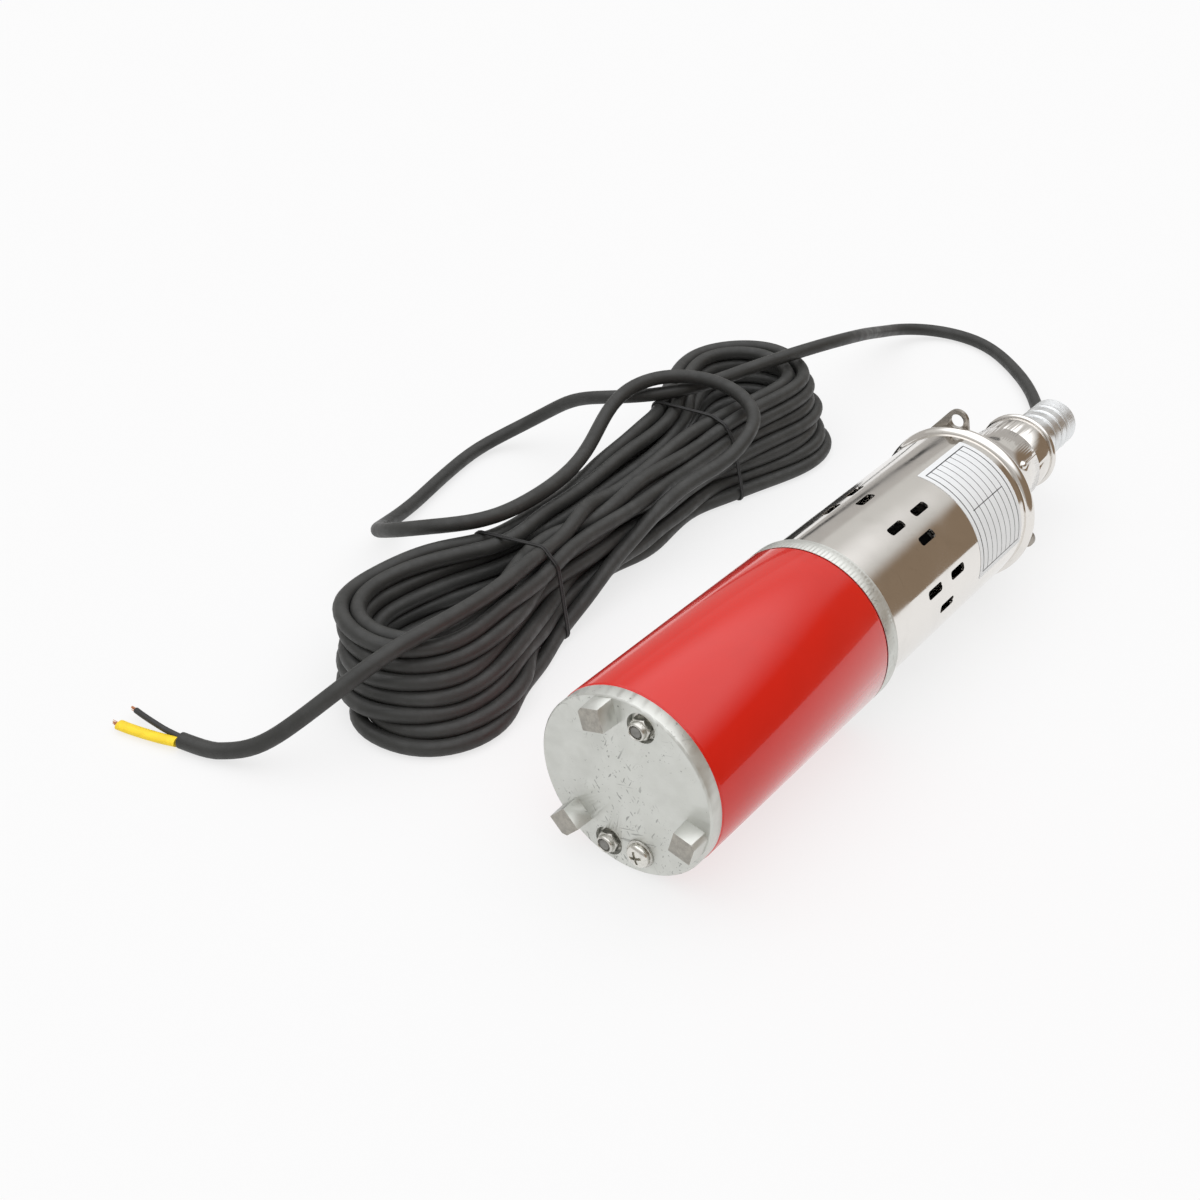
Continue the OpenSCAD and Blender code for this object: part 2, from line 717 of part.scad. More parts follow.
module pump_head() {
    inward = [-head_wall, 0];
    wall_low = sleeve_s + sleeve_len - head_spigot;
    outer = concat([[head_or, wall_low], [head_or, bead_s], [shoulder_r, eye_s], [shoulder_r, flare_s]],
        flare_curve, [[collar_r, neck_s]]);
    inner = concat([[head_ir, wall_low], [head_ir, bead_s]], [for (q = flare_curve) q + inward],
        [[collar_r - head_wall, neck_s]]);
    color("silver") along_pump() difference() {
        rotate_extrude() {
            polygon(concat(outer, [for (i = [len(inner) - 1:-1:0]) inner[i]]));
            difference() {
                translate([bead_c, bead_s]) circle(bead_r, $fn = 40);
                translate([0, bead_s - 2 * bead_r]) square([head_ir + eps, 4 * bead_r]);
            }
        }
        at_angle(gland_angle, lead_r) rod(ferrule_r + seat_gap, ferrule_s, ferrule_top);
    }
}

module rope_eye_plate() {
    ring_r = bead_c + 0.3;
    end_r = eye_hole / 2 + eye_rim;
    eye_r = bead_c + bead_r + eye_out;
    top = eye_s + eye_t;
    lean = acos((ring_r - end_r) / eye_r);
    bite = 0.4;
    near = (ring_r - bite) * [cos(lean), sin(lean)];
    far = [eye_r, 0] + (end_r - bite) * [cos(lean), sin(lean)];
    square_side = bite - end_r;
    color("gray") along_pump() difference() {
        union() {
            rod(ring_r, eye_s, top);
            at_angle(eye_angle, eye_r) rod(end_r, eye_s, top);
            at_angle(eye_angle) translate([0, 0, eye_s]) linear_extrude(eye_t)
                polygon([near, far, [eye_r, square_side], [ring_r / 2, square_side]]);
            at_angle(tab_angle, ring_r) rod(tab_r, eye_s, top);
        }
        rod(shoulder_r + fit_gap, eye_s - 1, top + 1);
        at_angle(eye_angle, eye_r) rod(eye_hole / 2, eye_s - 1, top + 1);
    }
}

neck_base_r = collar_r - 0.6;

module outlet_neck() {
    low = collar_s - 2;
    thread_low = neck_s + 2;
    color("silver") along_pump() difference() {
        rotate_extrude() polygon([
            [duct_r, low], [neck_skirt_r, low], [neck_skirt_r, neck_s], [neck_base_r, neck_s],
            [neck_d / 2, lip_s], [lip_d / 2 - 0.6, lip_s], [lip_d / 2, lip_s + 0.6],
            [lip_d / 2, barb_s - 0.8], [lip_d / 2 - 0.8, barb_s],
            [neck_bore_r + seat_gap, barb_s], [neck_bore_r + seat_gap, thread_low], [duct_r, thread_low]
        ]);
        rod(neck_bore_r + oring_d, barb_s - oring_d, barb_s + 1);
    }
}

module outlet_o_ring() {
    color("black") along_pump() o_ring(barb_s - oring_d / 2, neck_bore_r + oring_d - seat_gap);
}

module hose_barb() {
    shank_r = barb_d / 2;
    edge_r = shank_r + barb_edge;
    seal_r = neck_bore_r - oring_d * 0.1;
    shoulder_ring_r = edge_r + 1.4;
    barb_outline = [[shank_r, 0], [edge_r, 0.4], [edge_r, 1.2], [shank_r - 0.1, barb_pitch - eps]];
    barbs_s = barb_s + barb_shank;
    end_s = barbs_s + barb_count * barb_pitch;
    color("gainsboro") along_pump() difference() {
        rotate_extrude() polygon(concat(
            [[0, neck_s + 4], [neck_bore_r, neck_s + 4], [neck_bore_r, barb_s - oring_d],
             [seal_r, barb_s - oring_d], [seal_r, barb_s], [shoulder_ring_r, barb_s],
             [shoulder_ring_r, barb_s + 1.5], [shank_r, barb_s + 2.2]],
            [for (i = [0:barb_count - 1], q = barb_outline) [q[0], barbs_s + i * barb_pitch + q[1]]],
            [[shank_r, end_s], [shank_r, barb_tip - 1.5], [shank_r - 0.5, barb_tip - 0.5],
             [shank_r - 1.5, barb_tip], [0, barb_tip]]));
        rod(barb_bore / 2, neck_s, barb_tip + 1);
    }
}

// Cable entry

module gland_ferrule() {
    color("silver") along_pump() at_angle(gland_angle, lead_r)
        ring(ferrule_r, relief_r + seat_gap, ferrule_s, ferrule_top);
}

module strain_relief() {
    tip_r = cable_d / 2 + relief_tip;
    color("black") along_pump() at_angle(gland_angle, lead_r) difference() {
        union() {
            rod(relief_r, ferrule_s, ferrule_top + eps);
            translate([0, 0, ferrule_top]) cylinder(r1 = relief_r, r2 = tip_r, h = relief_len);
        }
        rod(cable_d / 2 + seat_gap, ferrule_s - 1, relief_top + 1);
    }
}

module inner_lead() {
    color("black") along_pump() at_angle(gland_angle, lead_r) rod(cable_d / 2, lead_low, relief_top);
}

// Cable: a tube swept along a smooth curve through the route's points

tube_sides = 8;
tube_steps = 2;
function curve_point(p, i, t) =
    let (a = p[max(i - 1, 0)], b = p[i], c = p[i + 1], d = p[min(i + 2, len(p) - 1)])
    0.5 * (2 * b + (c - a) * t + (2 * a - 5 * b + 4 * c - d) * t * t + (3 * b - a - 3 * c + d) * t * t * t);
function smooth(p, steps) = concat(
    [for (i = [0:len(p) - 2], k = [0:steps - 1]) curve_point(p, i, k / steps)], [p[len(p) - 1]]);
function unit(v) = v / norm(v);
function heading(p, i) = unit(p[min(i + 1, len(p) - 1)] - p[max(i - 1, 0)]);
function tube_ring(c, dir, r) =
    let (side = unit(cross(dir, [0, 0, 1])), up = cross(side, dir))
    [for (k = [0:tube_sides - 1]) let (a = 360 * (k + 0.5) / tube_sides)
        c + r * (cos(a) * side + sin(a) * up)];

module tube(p, r) {
    n = tube_sides;
    last = (len(p) - 1) * n;
    points = [for (i = [0:len(p) - 1]) each tube_ring(p[i], heading(p, i), r)];
    walls = [for (i = [0:len(p) - 2], k = [0:n - 1]) let (m = (k + 1) % n, a = i * n)
        each [[a + k, a + m, a + n + k], [a + m, a + n + m, a + n + k]]];
    caps = [[for (k = [n - 1:-1:0]) k], [for (k = [0:n - 1]) last + k]];
    polyhedron(points, concat(walls, caps), convexity = 10);
}

module cable_lead() {
    color("black") tube(smooth(lead_route, tube_steps), cable_d / 2);
}

module cable_tail() {
    color("black") tube(smooth(tail_route, tube_steps), cable_d / 2);
}

module core_wires() {
    color("goldenrod") for (route = core_routes) tube(route, core_d / 2);
}

module cable_hank() {
    along = hank_far - hank_near;
    color("black") linear_extrude(hank_h) {
        translate(hank_near) circle(hank_end_r);
        translate(hank_far) circle(hank_end_r);
        translate(hank_near) rotate(atan2(along[1], along[0]))
            translate([0, -hank_w / 2]) square([norm(along), hank_w]);
    }
}

function hank_x(y) =
    let (t = (y - hank_near[1]) / (hank_far[1] - hank_near[1]))
    hank_near[0] + (hank_far[0] - hank_near[0]) * t;

module hank_ties() {
    room = 0.3;
    half = hank_w / 2 + room;
    color("black") for (y = tie_ys) translate([hank_x(y), y, 0]) rotate([90, 0, 0])
        translate([0, 0, -tie_d / 2]) linear_extrude(tie_d) difference() {
            translate([-half - tie_d, 0]) square([2 * half + 2 * tie_d, hank_h + room + tie_d]);
            translate([-half, -1]) square([2 * half, hank_h + room + 1]);
        }
}

bottom_cap();
oil_filler_screw();
oil_screw_washer();
tie_rods();
tie_rod_nuts();
tie_rod_washers();
motor_barrel();
top_flange();
barrel_o_rings();
magnets();
armature_core();
armature_winding();
commutator();
motor_shaft();
brush_holder();
carbon_brushes();
brush_springs();
lower_bearing();
upper_bearing();
shaft_seal();
coupling_hub();
drive_rod();
screw_rotor();
stator_rubber();
stator_tube();
discharge_adaptor();
pump_sleeve();
pump_head();
rope_eye_plate();
outlet_neck();
outlet_o_ring();
hose_barb();
gland_ferrule();
strain_relief();
inner_lead();
lead_grommet();
cable_lead();
cable_hank();
cable_tail();
hank_ties();
core_wires();
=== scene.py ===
"""Borehole screw pump: finishes, cable and studio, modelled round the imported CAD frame."""

import json
import math
import random

import bmesh
import bpy
from bpy.props import FloatProperty, FloatVectorProperty, IntProperty, PointerProperty
from mathutils import Matrix, Vector
from mathutils.geometry import convex_hull_2d
from mathutils.kdtree import KDTree

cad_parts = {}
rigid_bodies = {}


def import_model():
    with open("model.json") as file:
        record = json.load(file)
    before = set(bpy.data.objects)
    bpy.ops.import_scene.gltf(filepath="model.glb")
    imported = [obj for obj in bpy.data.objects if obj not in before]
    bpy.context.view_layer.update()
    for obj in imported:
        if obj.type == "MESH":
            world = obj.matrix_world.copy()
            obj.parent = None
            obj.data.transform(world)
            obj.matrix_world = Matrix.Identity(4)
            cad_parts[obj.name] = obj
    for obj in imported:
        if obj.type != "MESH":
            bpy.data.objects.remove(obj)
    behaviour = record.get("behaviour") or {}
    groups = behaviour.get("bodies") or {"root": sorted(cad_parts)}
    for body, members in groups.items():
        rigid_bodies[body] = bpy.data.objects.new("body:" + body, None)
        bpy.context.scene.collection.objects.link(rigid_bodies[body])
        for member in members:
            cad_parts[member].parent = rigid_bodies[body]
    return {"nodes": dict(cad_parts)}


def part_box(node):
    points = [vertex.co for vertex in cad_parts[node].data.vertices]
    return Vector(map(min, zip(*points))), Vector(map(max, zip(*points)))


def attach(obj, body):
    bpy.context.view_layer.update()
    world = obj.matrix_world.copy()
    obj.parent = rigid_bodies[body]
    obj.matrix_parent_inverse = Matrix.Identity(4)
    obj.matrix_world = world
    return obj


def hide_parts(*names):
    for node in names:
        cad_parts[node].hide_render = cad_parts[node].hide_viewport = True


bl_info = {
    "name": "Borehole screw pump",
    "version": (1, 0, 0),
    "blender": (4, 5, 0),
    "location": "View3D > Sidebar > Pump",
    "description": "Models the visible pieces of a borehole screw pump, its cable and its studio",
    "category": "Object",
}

for leftover in list(bpy.data.objects):
    bpy.data.objects.remove(leftover)
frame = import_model()
bpy.context.view_layer.update()

MM = 0.001


def low(node):
    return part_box(node)[0]


def high(node):
    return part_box(node)[1]


def node_middle(node):
    lo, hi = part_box(node)
    return Vector(((lo.x + hi.x) / 2, (lo.y + hi.y) / 2, (lo.z + hi.z) / 2))


def node_radius(node):
    return (high(node).x - low(node).x) / 2


# Places that the frame gives: the pump lies along Y, its axis at this height over the floor
AXIS_Z = high("motor_barrel").z / 2
CAP_FACE = high("oil_screw_washer").y
BARREL_START, BARREL_END = low("motor_barrel").y, high("motor_barrel").y
SLEEVE_START, SLEEVE_END = low("pump_sleeve").y, high("pump_sleeve").y
PLATE_START, PLATE_END = low("rope_eye_plate").y, high("rope_eye_plate").y
COLLAR_END = high("pump_head").y
NECK_END = high("outlet_neck").y
BARB_END = high("hose_barb").y
BARREL_R = high("motor_barrel").x
SLEEVE_R = high("pump_sleeve").x
BEAD_R = high("pump_head").x


def at_angle(degrees, radius, y):
    """A point at an angle round the pump's axis, from +X towards the top."""
    turn = math.radians(degrees)
    return Vector((radius * math.cos(turn), y, AXIS_Z + radius * math.sin(turn)))


# Sizes and colours that a user would change


def length(name, description, default):
    return FloatProperty(name=name, description=description, default=default, min=0.0, precision=5,
                         unit="LENGTH")


def angle(name, description, degrees):
    return FloatProperty(name=name, description=description, default=math.radians(degrees), subtype="ANGLE")


def colour(name, description, default):
    return FloatVectorProperty(name=name, description=description, default=default, size=3, min=0.0, max=1.0,
                               subtype="COLOR")


class PumpSizes(bpy.types.PropertyGroup):
    """Sizes of the pump's visible pieces"""

    cap_bevel: length("Cap bevel", "Bevel round the bottom cap's front edge", 0.7 * MM)
    foot_side: length("Foot side", "Side of each cast foot", 10 * MM)
    foot_inset: length("Foot inset", "Distance of the feet from the cap's rim", 1.2 * MM)
    foot_angle: angle("Foot angle", "Angle of the first foot", -13)
    pocket_r: length("Pocket radius", "Radius of the pockets round the nuts", 6 * MM)
    pocket_depth: length("Pocket depth", "Depth of the pockets round the nuts", 3.2 * MM)
    rod_angle: angle("Tie rod angle", "Angle of the first tie rod", 77)
    nut_af: length("Nut width", "Width of the nuts across their flats", 8 * MM)
    nut_collar: length("Nut collar", "Height of the nuts' locking collar", 2 * MM)
    slot_l: length("Slot length", "Length of an intake slot along the sleeve", 11.4 * MM)
    slot_w: length("Slot width", "Width of an intake slot", 4 * MM)
    slot_corner: length("Slot corner", "Corner radius of an intake slot", 1.4 * MM)
    slot_angle: angle("Slot angle", "Angle of the first single slot", 50.3)
    slot_groups: IntProperty(name="Slot groups", description="Groups of three intake slots", default=7,
                             min=3, max=7)
    slot_step: angle("Slot step", "Angle from a single slot to the pair beside it", 18)
    slot_pair: length("Slot spacing", "Distance between the two slots of a pair", 19.7 * MM)
    slot_middle: length("Slot place", "Distance of the slots' middle from the sleeve's start", 47.1 * MM)
    bead_section: length("Bead section", "Radius of the rolled bead's section", 3.5 * MM)
    wall: length("Sheet wall", "Wall of the sleeve and the head", 1.2 * MM)
    shoulder_r: length("Shoulder radius", "Radius of the head under its flare", 32.73 * MM)
    collar_r: length("Collar radius", "Radius of the head's collar", 19.3 * MM)
    collar_h: length("Collar height", "Height of the head's collar", 12.5 * MM)
    neck_r: length("Neck radius", "Radius of the outlet neck", 18 * MM)
    lip_r: length("Lip radius", "Radius of the neck's lip", 19.5 * MM)
    lip_t: length("Lip thickness", "Thickness of the neck's lip", 3 * MM)
    barb_r: length("Barb radius", "Radius of the hose barb's shank", 11.8 * MM)
    barb_edge: length("Barb edge", "Height of the barbs over the shank", 0.5 * MM)
    barb_pitch: length("Barb pitch", "Spacing of the barbs", 6.5 * MM)
    barb_shank: length("Shank length", "Length of the hose barb's smooth shank", 16.5 * MM)
    barb_bore: length("Barb bore", "Radius of the hose barb's bore", 9 * MM)
    eye_hole_r: length("Eye hole", "Radius of the hole in the rope eye", 3.3 * MM)
    eye_rim: length("Eye rim", "Width of metal round the eye's hole", 2.1 * MM)
    eye_r: length("Eye distance", "Distance of the eye's hole from the axis", 39.35 * MM)
    eye_angle: angle("Eye angle", "Angle of the rope eye", 100.5)
    tab_r: length("Tab radius", "Radius of the locating tab", 4.2 * MM)
    tab_angle: angle("Tab angle", "Angle of the locating tab", -14)
    label_length: length("Sticker length", "Length of the sticker along the sleeve", 40 * MM)
    label_gap: length("Sticker gap", "Distance of the sticker from the sleeve's end", 4.7 * MM)
    label_low: angle("Sticker start", "Angle of the sticker's lower edge", -6)
    label_high: angle("Sticker end", "Angle of the sticker's upper edge", 88.7)


class CableSizes(bpy.types.PropertyGroup):
    """Sizes of the cable and its hank"""

    diameter: length("Cable diameter", "Diameter of the cable's jacket", 7 * MM)
    layers: IntProperty(name="Layers", description="Layers of turns in the hank", default=7, min=1, max=9)
    layer_rise: length("Layer rise", "Height from one layer of the hank to the next", 5.9 * MM)
    fold_r: length("Inner fold", "Radius of the innermost fold at the hank's ends", 21.5 * MM)
    run_gap: length("Inner run", "Distance of the innermost runs from the hank's middle", 7.6 * MM)
    run_step: length("Run spacing", "Distance between runs that lie side by side", 9.2 * MM)
    tie_d: length("Tie thickness", "Thickness of the ties round the hank", 1.1 * MM)
    core_d: length("Core diameter", "Diameter of an insulated core", 2.6 * MM)
    strand_d: length("Strand diameter", "Diameter of a copper strand", 0.32 * MM)


class PumpColours(bpy.types.PropertyGroup):
    """Colours of the finishes"""

    paint: colour("Barrel paint", "Gloss paint on the motor barrel", (0.655, 0.012, 0.004))
    cast_metal: colour("Cast metal", "Bare cast aluminium", (0.65, 0.66, 0.625))
    sawn_metal: colour("Sawn metal", "Sawn ends of the cast feet", (0.47, 0.45, 0.405))
    stainless: colour("Stainless", "Polished stainless sheet", (0.80, 0.775, 0.74))
    plating: colour("Plating", "Bright plating of the hose barb", (0.80, 0.815, 0.82))
    zinc: colour("Zinc", "Zinc plating of the fasteners", (0.63, 0.62, 0.58))
    eye_steel: colour("Eye steel", "Dull steel of the rope eye", (0.42, 0.39, 0.35))
    jacket: colour("Cable jacket", "Rubber of the cable's jacket", (0.033, 0.0335, 0.0315))
    tape: colour("Core sleeve", "Sleeve on the marked core", (0.84, 0.60, 0.02))
    core: colour("Plain core", "Insulation of the plain core", (0.03, 0.03, 0.03))
    tie: colour("Ties", "Wire of the ties round the hank", (0.02, 0.02, 0.02))
    copper: colour("Copper", "Bare copper strands", (0.80, 0.40, 0.22))
    paper: colour("Sticker", "Paper of the plain sticker", (0.82, 0.84, 0.85))
    rule: colour("Sticker rules", "Frame and rules on the plain sticker", (0.035, 0.035, 0.038))
    floor: colour("Floor", "Studio floor", (0.22, 0.22, 0.22))
    glow: colour("Floor glow", "Light that the floor gives off", (0.72, 0.72, 0.72))
    room: colour("Room", "Dim room round the studio", (0.155, 0.115, 0.080))
    wall: colour("Wall", "Pale walls of the studio", (0.30, 0.29, 0.28))
    softbox: colour("Softbox", "Pale band of light under the ceiling", (0.40, 0.395, 0.385))
    ceiling: colour("Ceiling", "Bright ceiling of the studio", (0.98, 0.98, 1.0))
    seam: colour("Wall seam", "Dark seam of the studio's back wall", (0.03, 0.03, 0.03))
    backdrop: colour("Backdrop", "Pale backdrop that closes the view behind the floor", (0.572, 0.572, 0.572))


def sizes():
    return bpy.context.scene.pump_sizes


def cable():
    return bpy.context.scene.pump_cable


def colours():
    return bpy.context.scene.pump_colours


# Modelling steps


def deselect():
    if bpy.context.mode != "OBJECT":
        bpy.ops.object.mode_set(mode="OBJECT")
    bpy.ops.object.select_all(action="DESELECT")


def pick(obj):
    deselect()
    obj.select_set(True)
    bpy.context.view_layer.objects.active = obj


def added(name):
    """Names the primitive just added and moves its place into its mesh."""
    obj = bpy.context.object
    obj.name = obj.data.name = name
    bpy.ops.object.transform_apply(location=True, rotation=True, scale=True)
    return obj


def close_mesh():
    """Merges doubles and turns the faces outwards, then leaves edit mode."""
    bpy.ops.mesh.select_all(action="SELECT")
    bpy.ops.mesh.remove_doubles(threshold=1e-6)
    bpy.ops.mesh.normals_make_consistent(inside=False)
    bpy.ops.object.mode_set(mode="OBJECT")


def draw(name, points):
    """Draws a chain of edges from point to point and stays in edit mode."""
    deselect()
    bpy.ops.mesh.primitive_plane_add(size=MM, location=points[0])
    obj = added(name)
    bpy.ops.object.mode_set(mode="EDIT")
    bpy.ops.mesh.select_all(action="SELECT")
    bpy.ops.mesh.merge(type="CENTER")
    for here, there in zip(points, points[1:]):
        bpy.ops.mesh.extrude_vertices_move(TRANSFORM_OT_translate={"value": there - here})
    return obj


def lathe(name, outline, centre=None, closed=False, steps=144):
    """Spins an outline of (radius, y) points round a line along Y, the pump's axis unless centre is given."""
    x, z = (0.0, AXIS_Z) if centre is None else centre
    points = [Vector((x + radius, y, z)) for radius, y in outline]
    obj = draw(name, points + points[:1] if closed else points)
    bpy.ops.mesh.select_all(action="SELECT")
    bpy.ops.mesh.spin(steps=steps, angle=math.tau, center=(x, 0, z), axis=(0, 1, 0))
    close_mesh()
    return obj


def tube(name, inner, outer, start, end, **options):
    """A plain ring or tube along Y, from its two radii and its two ends."""
    outline = [(inner, start), (outer, start), (outer, end), (inner, end)]
    return lathe(name, outline, closed=True, **options)


def arc_points(centre, radius, start, end, step):
    """Points of an arc as (radius, y), round a centre given alike, between two angles in degrees."""
    turns = [math.radians(value) for value in range(start, end + 1, step)]
    return [(centre[0] + radius * math.cos(turn), centre[1] + radius * math.sin(turn)) for turn in turns]


def flare_points(start, end, count):
    """Points of a flare as (radius, y), from start to end."""
    points = []
    for step in range(count + 1):
        share = step / count
        radius = end[0] + (start[0] - end[0]) * (1 - share) ** 2
        points.append((radius, start[1] + (end[1] - start[1]) * share))
    return points


def plate(name, points, depth):
    """Fills a closed outline that faces -Y and extrudes it along Y."""
    obj = draw(name, points + points[:1])
    bpy.ops.mesh.select_all(action="SELECT")
    bpy.ops.mesh.remove_doubles(threshold=1e-7)
    bpy.ops.mesh.edge_face_add()
    bpy.ops.mesh.extrude_region_move(TRANSFORM_OT_translate={"value": (0, depth, 0)})
    close_mesh()
    return obj


def apply_modifier(obj, kind, **settings):
    pick(obj)
    modifier = obj.modifiers.new(kind.title(), kind)
    for key, value in settings.items():
        setattr(modifier, key, value)
    bpy.ops.object.modifier_apply(modifier=modifier.name)


def combine(obj, tool, operation="DIFFERENCE"):
    """Cuts or joins a solid tool, which is used up."""
    apply_modifier(obj, "BOOLEAN", object=tool, operation=operation, solver="EXACT")
    bpy.data.objects.remove(tool)


def soften(obj, width, segments=2, limit=32, smooth=32):
    """Rounds the sharp edges and shades the rest smooth."""
    apply_modifier(obj, "BEVEL", width=width, segments=segments, limit_method="ANGLE",
                   angle_limit=math.radians(limit), harden_normals=True, use_clamp_overlap=True)
    shade(obj, smooth)


def true_round(obj, radius):
    """Makes a slotted tube mirror like a true cylinder: its outer faces take their normals from the axis."""
    skin, facing = radius - 0.05 * MM, 0.95
    mesh = obj.data
    normals = [corner.vector.copy() for corner in mesh.corner_normals]
    for face in mesh.polygons:
        out = Vector((face.center.x, 0, face.center.z - AXIS_Z))
        if out.length > skin and face.normal.dot(out.normalized()) > facing:
            for loop in face.loop_indices:
                place = mesh.vertices[mesh.loops[loop].vertex_index].co
                normals[loop] = Vector((place.x, 0, place.z - AXIS_Z)).normalized()
    mesh.normals_split_custom_set(normals)


def shade(obj, degrees=32):
    pick(obj)
    bpy.ops.object.shade_smooth_by_angle(angle=math.radians(degrees))


def drum(name, place, radius, depth, sides=48, turn=0.0):
    """A solid cylinder along Y, for a cutter or a nut."""
    deselect()
    bpy.ops.mesh.primitive_cylinder_add(vertices=sides, radius=radius, depth=depth, location=place,
                                        rotation=(math.pi / 2, turn, 0))
    return added(name)


def block(name, place, size, turn=0.0):
    """A cuboid whose X side points out from the pump's axis."""
    deselect()
    bpy.ops.mesh.primitive_cube_add(size=1, location=place, rotation=(0, -turn, 0), scale=size)
    return added(name)


def join(name, pieces):
    deselect()
    for piece in pieces:
        piece.select_set(True)
    bpy.context.view_layer.objects.active = pieces[0]
    bpy.ops.object.join()
    pieces[0].name = pieces[0].data.name = name
    return pieces[0]


def wire(name, points, diameter, cyclic=False, sides=4):
    """A round wire through the points."""
    data = bpy.data.curves.new(name, "CURVE")
    data.dimensions = "3D"
    data.bevel_depth = diameter / 2
    data.bevel_resolution = sides
    data.use_fill_caps = True
    spline = data.splines.new("POLY")
    spline.points.add(len(points) - 1)
    for item, point in zip(spline.points, points):
        item.co = (*point, 1.0)
    spline.use_cyclic_u = cyclic
    spline.use_smooth = True
    obj = bpy.data.objects.new(name, data)
    bpy.context.scene.collection.objects.link(obj)
    return obj


def to_mesh(obj):
    pick(obj)
    bpy.ops.object.convert(target="MESH")
    obj.data.name = obj.name
    shade(obj, 50)
    return obj


def dress(obj, material, slot, *nodes, body="pump"):
    """Gives a piece its finish and its body, and hides the CAD nodes that it stands for."""
    obj.data.materials.clear()
    obj.data.materials.append(material)
    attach(obj, body)
    if nodes:
        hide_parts(*nodes)


def paint_node(node, material):
    """Gives a carried-over CAD node a better material."""
    for slot in frame["nodes"][node].material_slots:
        slot.material = material


# Shader groups and materials


def put(tree, kind, settings=(), **inputs):
    """Adds a node, sets its options, and sets or links its inputs by name."""
    item = tree.nodes.new(kind)
    for key, value in dict(settings).items():
        setattr(item, key, value)
    for key, value in inputs.items():
        feed(tree, item.inputs[key.replace("_", " ")], value)
    return item


def feed(tree, socket, value):
    if isinstance(value, bpy.types.NodeSocket):
        tree.links.new(value, socket)
    else:
        socket.default_value = value


def math_node(tree, operation, first, second=0.0):
    item = put(tree, "ShaderNodeMath", {"operation": operation})
    feed(tree, item.inputs[0], first)
    feed(tree, item.inputs[1], second)
    return item.outputs[0]


def times(tree, first, second):
    return math_node(tree, "MULTIPLY", first, second)


def ramp(tree, value, start, end, to_start=0.0, to_end=1.0):
    item = put(tree, "ShaderNodeMapRange", {"interpolation_type": "SMOOTHSTEP"}, Value=value, From_Min=start,
               From_Max=end, To_Min=to_start, To_Max=to_end)
    return item.outputs["Result"]


def blend_colour(tree, factor, first, second):
    item = tree.nodes.new("ShaderNodeMix")
    item.data_type = "RGBA"
    feed(tree, item.inputs["Factor"], factor)
    for socket, value in ((item.inputs[6], first), (item.inputs[7], second)):
        feed(tree, socket, value if isinstance(value, bpy.types.NodeSocket) else (*value, 1.0))
    return item.outputs[2]


def object_place(tree):
    return put(tree, "ShaderNodeTexCoord").outputs["Object"]


def noise(tree, place, scale, detail=4.0, rough=0.55):
    item = put(tree, "ShaderNodeTexNoise", Vector=place, Scale=scale, Detail=detail, Roughness=rough)
    return item.outputs["Fac"]


def mapped(tree, place, scale=(1, 1, 1), turn=(0, 0, 0), shift=(0, 0, 0)):
    return put(tree, "ShaderNodeMapping", Vector=place, Scale=scale, Rotation=turn, Location=shift).outputs[0]


def mask_group(name, scale, draw_mask):
    """A shader group, built once: the mask that draw_mask makes from a place and a scale, times an amount."""
    if name in bpy.data.node_groups:
        return bpy.data.node_groups[name]
    tree = bpy.data.node_groups.new(name, "ShaderNodeTree")
    tree.interface.new_socket("Place", in_out="INPUT", socket_type="NodeSocketVector")
    for label, default in (("Scale", scale), ("Amount", 0.5)):
        socket = tree.interface.new_socket(label, in_out="INPUT", socket_type="NodeSocketFloat")
        socket.default_value = default
    tree.interface.new_socket("Mask", in_out="OUTPUT", socket_type="NodeSocketFloat")
    given = tree.nodes.new("NodeGroupInput").outputs
    out = tree.nodes.new("NodeGroupOutput").inputs
    mask = draw_mask(tree, given["Place"], given["Scale"])
    tree.links.new(times(tree, mask, given["Amount"]), out["Mask"])
    return tree


# Directions of the fine scratches, each with a shift of its pattern, and how far they are drawn out
SCRATCH_TURNS = (((0, 0.3, 0), 0.0), ((0, 1.2, 0.2), 3.1), ((0, 2.2, -0.2), 7.7), ((0, 2.9, 1.1), 5.2))
SCRATCH_STRETCH = (55, 900, 900)


def scratch_group():
    """Patches of thin straight scratches in four directions: a mask from 0, none, to 1."""
    def scratches(tree, place, scale):
        total = None
        for turn, shift in SCRATCH_TURNS:
            turned = mapped(tree, place, turn=turn)
            stretched = mapped(tree, turned, scale=SCRATCH_STRETCH, shift=(shift,) * 3)
            drawn = ramp(tree, noise(tree, stretched, scale, 1.0, 0.4), 0.69, 0.73)
            total = drawn if total is None else math_node(tree, "MAXIMUM", total, drawn)
        return times(tree, total, ramp(tree, noise(tree, place, 38.0), 0.45, 0.62))

    return mask_group("Fine scratches", 1.0, scratches)


def pit_group():
    """Small scattered pits: a mask from 0 to 1."""
    def pits(tree, place, scale):
        cell = put(tree, "ShaderNodeTexVoronoi", Vector=place, Scale=scale)
        spot = ramp(tree, cell.outputs["Distance"], 0.05, 0.17, 1.0, 0.0)
        return times(tree, spot, ramp(tree, noise(tree, place, 110.0), 0.57, 0.64))

    return mask_group("Casting pits", 700.0, pits)


def stain_group():
    """Broad soft smudges: a mask from 0 to 1."""
    def smudges(tree, place, scale):
        cloud = put(tree, "ShaderNodeTexNoise", Vector=place, Scale=scale, Detail=5.0, Roughness=0.6,
                    Distortion=0.6)
        return ramp(tree, cloud.outputs["Fac"], 0.42, 0.68)

    return mask_group("Soft smudges", 40.0, smudges)


def use_group(tree, group, place, **values):
    item = tree.nodes.new("ShaderNodeGroup")
    item.node_tree = group
    tree.links.new(place, item.inputs["Place"])
    for key, value in values.items():
        item.inputs[key].default_value = value
    return item.outputs["Mask"]


